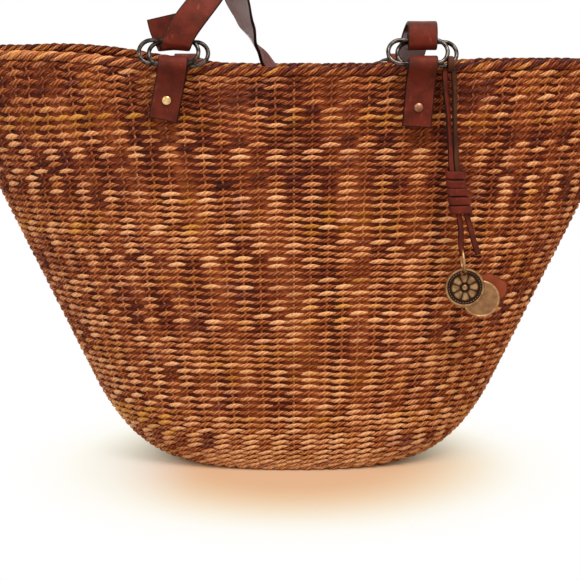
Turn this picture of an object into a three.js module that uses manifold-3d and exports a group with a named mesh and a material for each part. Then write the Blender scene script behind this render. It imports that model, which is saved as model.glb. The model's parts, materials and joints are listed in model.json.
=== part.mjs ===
// A flared, twined basket bag with two leather handles on doubled metal rings and a leather charm.
// Millimetres, +Z up. The front faces -Y, and the origin is the middle of the flat base.
import * as THREE from "three";
import { mergeVertices } from "three/addons/utils/BufferGeometryUtils.js";
import Module from "manifold-3d";

const wasm = await Module();
wasm.setup();

// Basket
const FOOT_HALF_W = 74; // flat part of the base
const FOOT_HALF_D = 55;
const KNEE_Z = 58; // top of the rounded foot
const KNEE_HALF_W = 143.4;
const KNEE_HALF_D = 63.9;
const RIM_HALF_W = 246;
const RIM_HALF_D = 75;
const RIM_Z = 276; // top of the braided rim in the middle of the front
const WALL_T = 5;
const BASE_T = 6;
const PLAN_POWER = 2.6; // 2 is an ellipse, more is squarer
const RIM_RISE_FRONT_LEFT = 9; // the soft rim stands higher at its ends
const RIM_RISE_BACK_LEFT = 15;
const RIM_RISE_RIGHT = 4;
const BRAID_R = 3.25;

// Leather tabs on the wall
const TAB_W = 19;
const TAB_L = 40; // from the ring axis to the lower end
const FRONT_LEFT_TAB_L = 35.5;
const TAB_LEAF_T = 2.2; // one layer of the folded strip
const TAB_RISE = 1.5; // ring axis above the rim
const FRONT_LEFT_X = -77;
const FRONT_RIGHT_X = 82;
const BACK_X = 80;
const FRONT_LEFT_LEAN = 12; // degrees, top towards +X
const FRONT_RIGHT_LEAN = 4;

// Rivets and the leather patches behind them
const RIVET_UP = 13; // above the tab's lower end
const RIVET_HEAD_R = 3.1;
const RIVET_HEAD_H = 1.7;
const RIVET_SHANK_R = 1.5;
const BURR_R = 3.5;
const BURR_T = 1.5;
const PATCH_W = 18;
const PATCH_T = 1.8;

// Rings, two to a tab
const WIRE_R = 1.4;
const RING_STRAIGHT = 22;
const RING_BEND_R = 8;
const RING_SHIFT = 3; // the two lie side by side, slid apart by this each way
const FRONT_RING_LIFT = 66; // degrees above level, leaning in over the mouth
const BACK_RING_LIFT = -40; // hanging out behind

// Handles
const STRAP_W = 19;
const STRAP_T = 2.4;
const BACK_DROP = 140; // ring axis to the bottom of the hanging loop

// Charm
const HITCH_OUT = 18; // from the middle of the right tab, along its ring
const HITCH_BORE_R = 2.8;
const HITCH_TUBE_R = 1.2;
const CHARM_SLANT = 4.9; // degrees, foot towards +X
const LACE_W = 3.8;
const LACE_T = 1.8;
const LACE_SPLIT = 0.6;
const LACE_TOP_H = 4;
const LACE_L = 119.4;
const WRAP_FROM_TOP = 58.7;
const WRAP_TURNS = 5;
const WRAP_PITCH = 5.75;
const WRAP_BAND_H = 4.85;
const WRAP_BAND_T = 1.9;
const WRAP_CORE_HALF_W = 4.6; // the lace spreads to this inside the wrap
const TAIL_W = 4.4;
const TAIL_BAR_H = 3.5;
const TAIL_CORNER = 2;
const LINK_WIRE_R = 0.9;
const LINK_HALF_D = 7.5;
const LINK_HALF_H = 7.6;
const FRONT_DISC_R = 13;
const BACK_DISC_R = 12.4;
const DISC_T = 1.6;
const DISC_EYE_IN = 3.2; // eye to the disc's edge
const BACK_DISC_EAR = 9; // eye to the edge on the eared disc
const DISC_EYE_R = 2;
const BACK_DISC_TURN = 29; // degrees towards +X
const TAG_TURN = 57;
const TAG_W = 15;
const TAG_L = 19;
const TAG_NECK_L = 13;
const TAG_NECK_W = 5;
const TAG_T = 1.6;

// Fits
const GAP = 0.3; // between pieces that touch
const BORE_GAP = 0.35; // round rivet shanks and ring wires
const LAYER_GAP = 0.5; // between the hanging discs

const rad = THREE.MathUtils.degToRad;
const V = (x, y, z) => new THREE.Vector3(x, y, z);
const leather = { color: 0x6e2c20, roughness: 0.42, metalness: 0 };
const laceLeather = { color: 0x4b2419, roughness: 0.5, metalness: 0 };
const antique = { color: 0x4a423c, roughness: 0.32, metalness: 1 };
const brass = { color: 0xb28a55, roughness: 0.35, metalness: 1 };
const oldBrass = { color: 0x8a6a45, roughness: 0.4, metalness: 1 };
const sisal = { color: 0x9a5f2f, roughness: 0.85, metalness: 0 };
const rimSisal = { color: 0xa9743f, roughness: 0.85, metalness: 0 };

const bag = new THREE.Group();

function place(name, geometry, look, parent = bag) {
  const mesh = new THREE.Mesh(geometry, new THREE.MeshStandardMaterial(look));
  mesh.name = name;
  parent.add(mesh);
  return mesh;
}

function geometryOf(points, triangles) {
  const geometry = new THREE.BufferGeometry();
  geometry.setAttribute("position", new THREE.Float32BufferAttribute(points.flatMap((p) => p.toArray()), 3));
  geometry.setIndex(triangles);
  return geometry;
}

// Joins rings of points into one closed skin. A closed run joins its last ring to its first.
function skin(rings, closed) {
  const sides = rings[0].length;
  const points = rings.flat();
  const triangles = [];
  const runs = closed ? rings.length : rings.length - 1;
  for (let i = 0; i < runs; i++) {
    const here = i * sides;
    const next = ((i + 1) % rings.length) * sides;
    for (let j = 0; j < sides; j++) {
      const k = (j + 1) % sides;
      triangles.push(here + j, here + k, next + k, here + j, next + k, next + j);
    }
  }
  if (!closed) {
    for (const [ring, flip] of [[0, true], [rings.length - 1, false]]) {
      const middle = points.length;
      const sum = rings[ring].reduce((total, p) => total.add(p), V(0, 0, 0));
      points.push(sum.divideScalar(sides));
      for (let j = 0; j < sides; j++) {
        const a = ring * sides + j;
        const b = ring * sides + ((j + 1) % sides);
        triangles.push(middle, flip ? b : a, flip ? a : b);
      }
    }
  }
  return geometryOf(points, triangles);
}

// Carries a flat section along stations. A section point (a, b) lies at p + a * across + b * up.
function sweep(stations, section, closed) {
  const rings = stations.map(({ p, across, up }) =>
    section.map(([a, b]) => p.clone().addScaledVector(across, a).addScaledVector(up, b)),
  );
  return skin(rings, closed);
}

function circleSection(r, sides) {
  return Array.from({ length: sides }, (_, i) => {
    const angle = (2 * Math.PI * i) / sides;
    return [r * Math.cos(angle), r * Math.sin(angle)];
  });
}

function solidOf(geometry) {
  const bare = geometry.index ? geometry.toNonIndexed() : geometry.clone();
  bare.deleteAttribute("normal");
  bare.deleteAttribute("uv");
  const merged = mergeVertices(bare, 1e-4);
  const mesh = new wasm.Mesh({
    numProp: 3,
    vertProperties: merged.attributes.position.array,
    triVerts: new Uint32Array(merged.index.array),
  });
  return new wasm.Manifold(mesh);
}

function cut(geometry, ...tools) {
  const rest = tools.reduce((solid, tool) => solid.subtract(solidOf(tool)), solidOf(geometry));
  const mesh = rest.getMesh();
  const out = new THREE.BufferGeometry();
  out.setAttribute("position", new THREE.BufferAttribute(new Float32Array(mesh.vertProperties), 3));
  out.setIndex(new THREE.BufferAttribute(new Uint32Array(mesh.triVerts), 1));
  return out;
}

// The basket's plan at a height is a superellipse.
function plan(halfW, halfD, turn) {
  const c = Math.cos(turn);
  const s = Math.sin(turn);
  const power = 2 / PLAN_POWER;
  return [halfW * Math.sign(c) * Math.abs(c) ** power, halfD * Math.sign(s) * Math.abs(s) ** power];
}

const WALL_RUN = RIM_Z - KNEE_Z;
const flareW = (RIM_HALF_W - KNEE_HALF_W) / WALL_RUN;
const flareD = (RIM_HALF_D - KNEE_HALF_D) / WALL_RUN;
const halfWAt = (z) => RIM_HALF_W - flareW * (RIM_Z - z);
const halfDAt = (z) => RIM_HALF_D - flareD * (RIM_Z - z);

// How far the wall stands from the middle plane at x and z, this deep into its thickness.
function wallY(x, z, deep) {
  const halfW = halfWAt(z) - deep * Math.hypot(1, flareW);
  const halfD = halfDAt(z) - deep * Math.hypot(1, flareD);
  return halfD * (1 - (x / halfW) ** PLAN_POWER) ** (1 / PLAN_POWER);
}

function rimRise(turn) {
  const x = plan(1, 1, turn)[0];
  const shape = THREE.MathUtils.smoothstep(Math.abs(x), 0.15, 0.7);
  const back = (1 + Math.sin(turn)) / 2;
  const left = THREE.MathUtils.lerp(RIM_RISE_FRONT_LEFT, RIM_RISE_BACK_LEFT, back);
  return shape * (x < 0 ? left : RIM_RISE_RIGHT);
}

const WALL_TOP = RIM_Z - 2 * BRAID_R - GAP;
const PLAN_STEPS = 84;
const turns = Array.from({ length: PLAN_STEPS }, (_, i) => (2 * Math.PI * (i + 0.5)) / PLAN_STEPS);

function planRing(halfW, halfD, height) {
  return turns.map((turn) => V(...plan(halfW, halfD, turn), height(turn)));
}

// The foot is a curve from the flat base into the slant of the wall, outside and inside.
const slantW = WALL_T * Math.hypot(1, flareW);
const slantD = WALL_T * Math.hypot(1, flareD);
const FOOT_STEPS = [0, 0.2, 0.4, 0.6, 0.8, 1];
const bend = (t, from, through, to) => (1 - t) ** 2 * from + 2 * t * (1 - t) * through + t ** 2 * to;

function footRing(t, baseZ, inW, inD) {
  const halfW = bend(t, FOOT_HALF_W, halfWAt(baseZ) - inW, KNEE_HALF_W - inW);
  const halfD = bend(t, FOOT_HALF_D, halfDAt(baseZ) - inD, KNEE_HALF_D - inD);
  return planRing(halfW, halfD, () => bend(t, baseZ, baseZ, KNEE_Z));
}
const footOuter = FOOT_STEPS.map((t) => footRing(t, 0, 0, 0));
const footInner = FOOT_STEPS.map((t) => footRing(t, BASE_T, slantW, slantD));
const midHeights = [0.3, 0.55, 0.8].map((share) => KNEE_Z + share * (WALL_TOP - KNEE_Z));
const wallTop = (turn) => WALL_TOP + rimRise(turn);
const outer = midHeights.map((z) => planRing(halfWAt(z), halfDAt(z), () => z));
const inner = midHeights.map((z) => planRing(halfWAt(z) - slantW, halfDAt(z) - slantD, () => z));
const bodyRings = [
  ...footOuter,
  ...outer,
  planRing(halfWAt(WALL_TOP), halfDAt(WALL_TOP), wallTop),
  planRing(halfWAt(WALL_TOP) - slantW, halfDAt(WALL_TOP) - slantD, wallTop),
  ...inner.reverse(),
  ...footInner.reverse(),
];
const shell = skin(bodyRings, false);

const braidStations = turns.map((turn) => {
  const [x, y] = plan(halfWAt(WALL_TOP) - slantW / 2, halfDAt(WALL_TOP) - slantD / 2, turn);
  return V(x, y, wallTop(turn) + GAP + BRAID_R);
}).map((p, i, all) => {
  const along = all[(i + 1) % all.length].clone().sub(all[(i + all.length - 1) % all.length]);
  const across = V(along.y, -along.x, 0).normalize();
  const up = along.normalize().cross(across).negate();
  return { p, across, up };
});
const braidSection = circleSection(BRAID_R, 8).map(([a, b]) => [a, -b]);
place("rim_braid", sweep(braidStations, braidSection, true), rimSisal);

// Tabs. Their frame lies on the wall: u points out of it, v up along it.
const slope = Math.atan(flareD);
const TAB_T = 2 * TAB_LEAF_T;
const EYE_R = WIRE_R * 2 + GAP * 2 / 3 + BORE_GAP; // round the two wires
const LOOP_R = EYE_R + TAB_LEAF_T;
const braidOut = BRAID_R - WALL_T / 2;
const TAB_BACK = braidOut + GAP;
const tabInnerX = Math.min(-FRONT_LEFT_X, FRONT_RIGHT_X, BACK_X) - TAB_W;
const tabWallY = wallY(tabInnerX, RIM_Z, 0);
const AXIS_U = TAB_BACK + LOOP_R;
const AXIS_V = TAB_RISE;

function tabFrame(x, side) {
  const out = V(0, side * Math.cos(slope), -Math.sin(slope));
  const up = V(0, side * Math.sin(slope), Math.cos(slope));
  const right = out.clone().cross(up);
  const seat = V(x, side * tabWallY, RIM_Z);
  const at = (u, v) => seat.clone().addScaledVector(out, u).addScaledVector(up, v);
  return { right, out, up, at, matrix: new THREE.Matrix4().makeBasis(right, out, up).setPosition(seat) };
}

function tabOutline(length) {
  const shape = new THREE.Shape();
  shape.moveTo(TAB_BACK, AXIS_V - length);
  shape.lineTo(TAB_BACK + TAB_T, AXIS_V - length);
  shape.lineTo(TAB_BACK + TAB_T, AXIS_V - 2 * LOOP_R);
  shape.absarc(AXIS_U, AXIS_V, LOOP_R, rad(-35), rad(180), false);
  shape.closePath();
  const eye = new THREE.Path();
  eye.absarc(AXIS_U, AXIS_V, EYE_R, 0, 2 * Math.PI, true);
  shape.holes.push(eye);
  return shape;
}

// A cylinder along the tab frame's u axis, from u0 to u1.
function peg(r, u0, u1, x, v, sides = 16) {
  const geometry = new THREE.CylinderGeometry(r, r, u1 - u0, sides);
  return geometry.translate(x, (u0 + u1) / 2, v);
}

const wallHoles = [];

function attachment(name, x, side, leanDegrees, length = TAB_L) {
  const frame = tabFrame(x, side);
  const lean = side * Math.tan(rad(leanDegrees));
  const rivetV = AXIS_V - length + RIVET_UP;
  const rivetX = (rivetV - AXIS_V) * lean;
  const hole = RIVET_SHANK_R + BORE_GAP;
  const tab = new THREE.ExtrudeGeometry(tabOutline(length), { depth: TAB_W, bevelEnabled: false, curveSegments: 10 });
  const toFrame = new THREE.Matrix4().makeBasis(V(0, 1, 0), V(0, 0, 1), V(1, 0, 0));
  tab.translate(0, 0, -TAB_W / 2).applyMatrix4(toFrame);
  const shear = new THREE.Matrix4().set(1, 0, lean, -AXIS_V * lean, 0, 1, 0, 0, 0, 0, 1, 0, 0, 0, 0, 1);
  tab.applyMatrix4(shear);
  const through = peg(hole, -WALL_T - 10, TAB_BACK + TAB_T + 1, rivetX, rivetV);
  place(`${name}_tab`, cut(tab, through).applyMatrix4(frame.matrix), leather);
  wallHoles.push(through.clone().applyMatrix4(frame.matrix));

  const patchX = Math.abs(x) + Math.abs(rivetX) + PATCH_W / 2;
  const patchZ = RIM_Z + rivetV - PATCH_W / 2;
  const patchOut = wallY(patchX, patchZ, WALL_T) - tabWallY + flareD * (RIM_Z - patchZ) - GAP;
  const patch = new THREE.BoxGeometry(PATCH_W, PATCH_T, PATCH_W);
  patch.translate(rivetX, patchOut - PATCH_T / 2, rivetV);
  place(`${name}_patch`, cut(patch, through).applyMatrix4(frame.matrix), leather);

  const burrOut = patchOut - PATCH_T - GAP;
  const burr = peg(BURR_R, burrOut - BURR_T, burrOut, rivetX, rivetV, 20);
  place(`${name}_burr`, cut(burr, through).applyMatrix4(frame.matrix), brass);

  const headAt = TAB_BACK + TAB_T + GAP;
  const profile = [new THREE.Vector2(0, burrOut - BURR_T), new THREE.Vector2(RIVET_SHANK_R, burrOut - BURR_T)];
  profile.push(new THREE.Vector2(RIVET_SHANK_R, headAt), new THREE.Vector2(RIVET_HEAD_R, headAt));
  for (const angle of [15, 40, 65, 90]) {
    const r = angle === 90 ? 0 : RIVET_HEAD_R * Math.cos(rad(angle));
    profile.push(new THREE.Vector2(r, headAt + RIVET_HEAD_H * Math.sin(rad(angle))));
  }
  const rivet = new THREE.LatheGeometry(profile, 16);
  rivet.translate(rivetX, 0, rivetV);
  place(`${name}_rivet`, rivet.applyMatrix4(frame.matrix), brass);
  return frame.at(AXIS_U, AXIS_V);
}

// Rings. Each is a long loop of round wire, one bar in the tab's eye and one in the handle's.
const RING_REACH = 2 * RING_BEND_R;
const RING_STACK = WIRE_R + GAP / 3; // half the distance between the two wires

function ringGeometry(axis, reach, stack, shift) {
  const normal = V(1, 0, 0).cross(reach);
  const middle = axis.clone().addScaledVector(reach, RING_BEND_R).addScaledVector(normal, stack);
  middle.x += shift;
  const stations = [];
  const station = (x, r, angle) => {
    const across = V(Math.cos(angle), 0, 0).addScaledVector(reach, Math.sin(angle));
    stations.push({ p: middle.clone().add(V(x, 0, 0)).addScaledVector(reach, r), across, up: normal });
  };
  for (const end of [1, -1]) {
    for (let i = 0; i <= 8; i++) {
      const angle = end * (-Math.PI / 2 + (Math.PI * i) / 8) + (end > 0 ? 0 : Math.PI);
      const turn = end > 0 ? angle : Math.PI / 2 + (Math.PI * i) / 8;
      const x = end * (RING_STRAIGHT / 2) + RING_BEND_R * Math.cos(turn);
      station(x, RING_BEND_R * Math.sin(turn), turn);
    }
  }
  const section = circleSection(WIRE_R, 8).map(([a, b]) => [a, -b]);
  return sweep(stations, section, true);
}

function ringPair(name, axis, side, liftDegrees, outward, outerStack) {
  const lift = rad(liftDegrees);
  const reach = V(0, -side * Math.cos(lift), Math.sin(lift));
  place(`${name}_outer_ring`, ringGeometry(axis, reach, outerStack * RING_STACK, outward * RING_SHIFT), antique);
  place(`${name}_inner_ring`, ringGeometry(axis, reach, -outerStack * RING_STACK, -outward * RING_SHIFT), antique);
  return axis.clone().addScaledVector(reach, RING_REACH);
}

const frontLeft = attachment("front_left", FRONT_LEFT_X, -1, FRONT_LEFT_LEAN, FRONT_LEFT_TAB_L);
const frontRight = attachment("front_right", FRONT_RIGHT_X, -1, FRONT_RIGHT_LEAN);
const backLeft = attachment("back_left", -BACK_X, 1, 0);
const backRight = attachment("back_right", BACK_X, 1, 0);
place("woven_body", cut(shell, ...wallHoles), sisal);

const frontLeftBar = ringPair("front_left", frontLeft, -1, FRONT_RING_LIFT, -1, 1);
const frontRightBar = ringPair("front_right", frontRight, -1, FRONT_RING_LIFT, 1, -1);
const backLift = 180 - BACK_RING_LIFT;
const backLeftBar = ringPair("back_left", backLeft, 1, backLift, -1, 1);
const backRightBar = ringPair("back_right", backRight, 1, backLift, 1, 1);

// Handles. Each is one strap whose ends turn round the ring bars and end in a short tail.
const EYE_MID = EYE_R + STRAP_T / 2;

function strap(stops) {
  const curve = new THREE.CatmullRomCurve3(stops.map(([p]) => p), false, "centripetal");
  const stations = [];
  const last = stops.length - 1;
  for (let i = 0; i <= last * 3; i++) {
    const t = i / (last * 3);
    const stop = Math.min(Math.floor(t * last + 1e-9), last - 1);
    const share = THREE.MathUtils.smoothstep(t * last - stop, 0, 1);
    const along = curve.getTangent(t);
    const across = stops[stop][1].clone().lerp(stops[stop + 1][1], share);
    across.addScaledVector(along, -across.dot(along)).normalize();
    stations.push({ p: curve.getPoint(t), across, up: along.clone().cross(across) });
  }
  const w = STRAP_W / 2;
  const t = STRAP_T / 2;
  const bevel = STRAP_T / 5;
  const section = [[-w, t - bevel], [-w, bevel - t], [bevel - w, -t], [w - bevel, -t]];
  section.push([w, bevel - t], [w, t - bevel], [w - bevel, t], [bevel - w, t]);
  return { geometry: sweep(stations, section, false), length: curve.getLength() };
}

const level = V(1, 0, 0);
const turned = V(-1, 0, 0);
// Points of the bight round a bar, from one angle to another in the plane across the bar.
function bight(bar, from, to, w = level) {
  return Array.from({ length: 6 }, (_, i) => {
    const angle = rad(from + ((to - from) * i) / 5);
    return [bar.clone().add(V(0, EYE_MID * Math.cos(angle), EYE_MID * Math.sin(angle))), w];
  });
}
const off = (bar, x, y, z, w = level) => [bar.clone().add(V(x, y, z)), w];

const frontStrap = strap([
  off(frontLeftBar, -4, EYE_MID - 0.4, 16, V(0.97, 0, 0.25)),
  off(frontLeftBar, -1.5, EYE_MID, 8, V(0.99, 0, 0.12)),
  ...bight(frontLeftBar, 0, -180),
  off(frontLeftBar, 3, -EYE_MID - 0.5, 6, V(0.93, 0, -0.36)),
  off(frontLeftBar, 11, -EYE_MID + 1.2, 13, V(0.8, 0, -0.6)),
  off(frontLeftBar, 18, 0, 21.5, V(0.79, -0.05, -0.61)),
  off(frontLeftBar, 24.5, 5.5, 31, V(0.82, -0.15, -0.55)),
  off(frontLeftBar, 29, 14, 41.5, V(0.85, -0.33, -0.41)),
  off(frontLeftBar, 32.5, 28, 49, V(0.87, -0.47, -0.15)),
  off(frontLeftBar, 34.5, 44, 44.5, V(0.84, -0.53, 0.1)),
  off(frontLeftBar, 38, 57, 29, V(0.78, -0.6, 0.2)),
  off(frontLeftBar, 44, 66.5, 12, V(0.5, -0.86, 0.1)),
  off(frontLeftBar, 50, 73, -2, V(0.05, -1, 0)),
  off(frontLeftBar, 58, 79, -14, V(-0.4, -0.92, 0)),
  off(frontLeftBar, 73, 86, -29, V(-0.3, -0.95, 0)),
  off(frontLeftBar, 96, 88, -41, V(0, -1, 0)),
  off(frontLeftBar, 122, 78, -45, V(-0.25, -0.97, 0)),
  off(frontRightBar, -18, 57, -37, V(-0.65, -0.76, 0)),
  off(frontRightBar, -8, 37, -22, V(-0.92, -0.38, 0)),
  off(frontRightBar, -4, 23, -4, V(-0.99, -0.14, 0)),
  off(frontRightBar, -1.5, 14.5, 6.5, turned),
  off(frontRightBar, 0, 5.5, 11.5, turned),
  off(frontRightBar, 0, -2.2, 9.5, turned),
  off(frontRightBar, 0, -EYE_MID, 4.4, turned),
  ...bight(frontRightBar, -180, 0, turned),
  off(frontRightBar, 0, EYE_MID - 0.6, 4.8, turned),
]);
place("front_handle", frontStrap.geometry, leather);

const hang = (bar, out, y, share, w) => off(bar, out, y, -share * BACK_DROP, w);
const backSide = (bar, inward) => [
  hang(bar, 0, EYE_MID, 0.08, level),
  hang(bar, inward * 0.5, EYE_MID + 0.5, 0.22, V(1, 0.05, 0)),
  hang(bar, inward * 3, EYE_MID + 1.5, 0.4, V(0.8, 0.6, 0)),
  hang(bar, inward * 10, EYE_MID + 2.5, 0.58, V(0.35, 0.94, 0)),
  hang(bar, inward * 25, EYE_MID + 3, 0.78, V(0, 1, 0)),
  hang(bar, inward * 48, EYE_MID + 3, 0.94, V(0, 1, 0)),
];
const backStrap = strap([
  off(backLeftBar, 0, -EYE_MID + 0.6, -20),
  off(backLeftBar, 0, -EYE_MID, -9),
  ...bight(backLeftBar, 180, 0),
  ...backSide(backLeftBar, 1),
  hang(backLeftBar, BACK_X, EYE_MID + 3, 1, V(0, 1, 0)),
  ...backSide(backRightBar, -1).reverse(),
  ...bight(backRightBar, 0, 180),
  off(backRightBar, 0, -EYE_MID, -9),
  off(backRightBar, 0, -EYE_MID + 0.6, -20),
]);
place("back_handle", backStrap.geometry, leather);

// Charm. A lace hitched on the right front ring, bound by a wrap, with a link, two discs and a tag.
const bendIn = HITCH_OUT - RING_SHIFT - RING_STRAIGHT / 2;
const bendUp = RING_BEND_R - Math.sqrt(RING_BEND_R ** 2 - bendIn ** 2);
const frontReach = V(0, Math.cos(rad(FRONT_RING_LIFT)), Math.sin(rad(FRONT_RING_LIFT)));
const frontNormal = V(1, 0, 0).cross(frontReach);
const hitchAt = frontRight.clone().addScaledVector(frontReach, bendUp).addScaledVector(frontNormal, -RING_STACK);
hitchAt.x += HITCH_OUT;
const HITCH_R = HITCH_BORE_R + HITCH_TUBE_R;
const hitchStations = Array.from({ length: 20 }, (_, i) => {
  const angle = (2 * Math.PI * i) / 20;
  const across = V(0, Math.cos(angle), Math.sin(angle));
  return { p: hitchAt.clone().addScaledVector(across, HITCH_R), across, up: V(1, 0, 0) };
});
const hitchSection = circleSection(HITCH_TUBE_R, 8).map(([a, b]) => [a, -b]);
place("charm_hitch", sweep(hitchStations, hitchSection, true), laceLeather);

const charm = new THREE.Group();
charm.position.copy(hitchAt).add(V(0, 0, -HITCH_R - HITCH_TUBE_R));
charm.rotation.y = rad(-CHARM_SLANT);
bag.add(charm);

const wrapH = WRAP_TURNS * WRAP_PITCH + WRAP_BAND_H;
const wrapTop = -GAP - WRAP_FROM_TOP;
const wrapFoot = wrapTop - wrapH;
const laceFoot = -GAP - LACE_L;
const laceHalf = LACE_W + LACE_SPLIT / 2;
const tailSlot = LINK_WIRE_R + 2 * GAP;
const tailHalf = tailSlot + TAIL_W;
const laceShape = new THREE.Shape();
const laceSide = [
  [laceHalf, -GAP],
  [laceHalf, wrapTop + 8],
  [WRAP_CORE_HALF_W, wrapTop + 2],
  [WRAP_CORE_HALF_W, wrapFoot - 2],
  [tailHalf, wrapFoot - 10],
  [tailHalf, laceFoot + TAIL_CORNER],
  [tailHalf - TAIL_CORNER, laceFoot],
];
laceSide.forEach(([x, z], i) => (i ? laceShape.lineTo(-x, z) : laceShape.moveTo(-x, z)));
laceSide.toReversed().forEach(([x, z]) => laceShape.lineTo(x, z));
laceShape.closePath();
const slot = new THREE.Path();
slot.moveTo(-LACE_SPLIT / 2, -GAP - LACE_TOP_H);
slot.lineTo(LACE_SPLIT / 2, -GAP - LACE_TOP_H);
slot.lineTo(LACE_SPLIT / 2, wrapFoot - 4);
slot.lineTo(tailSlot, wrapFoot - 12);
slot.lineTo(tailSlot, laceFoot + TAIL_BAR_H);
slot.lineTo(-tailSlot, laceFoot + TAIL_BAR_H);
slot.lineTo(-tailSlot, wrapFoot - 12);
slot.lineTo(-LACE_SPLIT / 2, wrapFoot - 4);
slot.closePath();
laceShape.holes.push(slot);

// A flat piece drawn in x and z, with its thickness along y and its middle at y.
function plate(shape, thickness, y) {
  const geometry = new THREE.ExtrudeGeometry(shape, { depth: thickness, bevelEnabled: false, curveSegments: 24 });
  return geometry.translate(0, 0, -thickness / 2).rotateX(Math.PI / 2).translate(0, y, 0);
}
place("charm_lace", plate(laceShape, LACE_T, 0), laceLeather, charm);

// The wrap is one flat band wound round the spread lace, with no join between its turns.
const wrapMid = LACE_T / 2 + BORE_GAP + WRAP_BAND_T / 2;
const wrapStraight = WRAP_CORE_HALF_W - GAP;
const WRAP_STEPS = 24;
const wrapStations = [];
for (let i = 0; i <= WRAP_TURNS * WRAP_STEPS; i++) {
  const turn = (2 * Math.PI * i) / WRAP_STEPS;
  const side = Math.sign(Math.round(Math.cos(turn) * 1e6));
  const across = V(Math.cos(turn), Math.sin(turn), 0);
  const lean = Math.abs(Math.cos(turn)) < 0.2 ? Math.cos(turn) / 0.2 : side;
  const p = V(wrapStraight * lean + wrapMid * across.x, wrapMid * across.y, 0);
  p.z = wrapTop - WRAP_BAND_H / 2 - (WRAP_PITCH * i) / WRAP_STEPS;
  wrapStations.push({ p, across, up: V(0, 0, 1) });
}
const band = [[0.5, 0.3], [0.5, -0.3], [0.2, -0.5], [-0.5, -0.42], [-0.5, 0.42], [0.2, 0.5]];
const bandSection = band.map(([a, b]) => [a * WRAP_BAND_T, b * WRAP_BAND_H]);
place("charm_wrap", sweep(wrapStations, bandSection, false), leather, charm);

// The least distance between the skins of turns that are half a turn or more apart.
function leastSelfGap() {
  const skins = wrapStations.map(({ p, across, up }) =>
    bandSection.map(([a, b]) => p.clone().addScaledVector(across, a).addScaledVector(up, b)),
  );
  let least = Infinity;
  for (let i = 0; i < skins.length; i++) {
    for (let j = i + WRAP_STEPS / 2; j < skins.length; j++) {
      for (const one of skins[i]) {
        for (const other of skins[j]) least = Math.min(least, one.distanceTo(other));
      }
    }
  }
  return least;
}

const barTop = laceFoot + TAIL_BAR_H;
const linkMid = barTop + GAP + LINK_WIRE_R - LINK_HALF_H;
const linkStations = Array.from({ length: 20 }, (_, i) => {
  const angle = (2 * Math.PI * i) / 20;
  const p = V(0, LINK_HALF_D * Math.cos(angle), linkMid + LINK_HALF_H * Math.sin(angle));
  const across = V(0, LINK_HALF_H * Math.cos(angle), LINK_HALF_D * Math.sin(angle)).normalize();
  return { p, across, up: V(1, 0, 0) };
});
const linkSection = circleSection(LINK_WIRE_R, 8).map(([a, b]) => [a, -b]);
place("charm_link", sweep(linkStations, linkSection, true), antique, charm);

// What hangs on the link has its eye at its group's origin, so that it swings about it.
const eyeZ = linkMid - LINK_HALF_H;
const eye = () => {
  const path = new THREE.Path();
  path.absarc(0, 0, DISC_EYE_R, 0, 2 * Math.PI, true);
  return path;
};
const layer = DISC_T + LAYER_GAP;

function hanger(name, shape, thickness, y, turnDegrees, look) {
  const group = new THREE.Group();
  group.position.set(0, y, eyeZ);
  group.rotation.y = rad(-turnDegrees);
  charm.add(group);
  shape.holes.push(eye());
  place(name, plate(shape, thickness, 0), look, group);
}

const frontDisc = new THREE.Shape();
frontDisc.absarc(0, DISC_EYE_IN - FRONT_DISC_R, FRONT_DISC_R, 0, 2 * Math.PI, false);
hanger("front_disc", frontDisc, DISC_T, -layer, 0, oldBrass);

const earHalf = DISC_EYE_R + 1.4;
const earTurn = Math.asin(earHalf / BACK_DISC_R);
const backDisc = new THREE.Shape();
backDisc.absarc(0, 0, earHalf, 0, Math.PI, false);
backDisc.absarc(0, -BACK_DISC_EAR - BACK_DISC_R, BACK_DISC_R, Math.PI / 2 + earTurn, Math.PI / 2 - earTurn, false);
backDisc.closePath();
hanger("back_disc", backDisc, DISC_T, 0, BACK_DISC_TURN, oldBrass);

const tag = new THREE.Shape();
const neck = TAG_NECK_W / 2 + 0.7;
tag.absarc(0, 0, neck, 0, Math.PI, false);
tag.lineTo(-TAG_NECK_W / 2, -TAG_NECK_L * 0.7);
tag.lineTo(-TAG_W / 2, -TAG_NECK_L - 3);
tag.lineTo(-TAG_W / 2, -TAG_NECK_L - TAG_L + 4);
tag.lineTo(0, -TAG_NECK_L - TAG_L);
tag.lineTo(TAG_W / 2, -TAG_NECK_L - TAG_L + 4);
tag.lineTo(TAG_W / 2, -TAG_NECK_L - 3);
tag.lineTo(TAG_NECK_W / 2, -TAG_NECK_L * 0.7);
tag.closePath();
hanger("leather_tag", tag, TAG_T, layer, TAG_TURN, leather);

const show = (p) => p.toArray().map((v) => v.toFixed(2)).join(", ");
charm.updateMatrixWorld(true);
console.log(`handle lengths ${frontStrap.length.toFixed(0)} and ${backStrap.length.toFixed(0)}`);
console.log(`least gap between the wrap's turns ${leastSelfGap().toFixed(2)}`);
console.log(`front tab axes ${show(frontLeft)} | ${show(frontRight)}`);
console.log(`front ring bars ${show(frontLeftBar)} | ${show(frontRightBar)}`);
console.log(`back tab axes ${show(backLeft)} | ${show(backRight)}`);
console.log(`back ring bars ${show(backLeftBar)} | ${show(backRightBar)}`);
console.log(`hitch ${show(hitchAt)}, lace pivot ${show(charm.position)}`);
console.log(`hanger pivot ${show(charm.localToWorld(V(0, 0, eyeZ)))}`);

export default bag;
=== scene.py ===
# %% [markdown]
# # A woven basket bag
#
# This lesson dresses a flared basket bag: twined plant fibre, a plaited rim, leather handles on doubled
# rings, and a leather charm. The solids come from the frame and stay where they are. Each cell makes one
# piece or one finish and puts it in the place of its solid. Lengths are metres, with MM for millimetres.

# %% Load the frame
import json
import math

import bmesh
import bpy
import numpy as np
from mathutils import Matrix, Vector, noise


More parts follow.
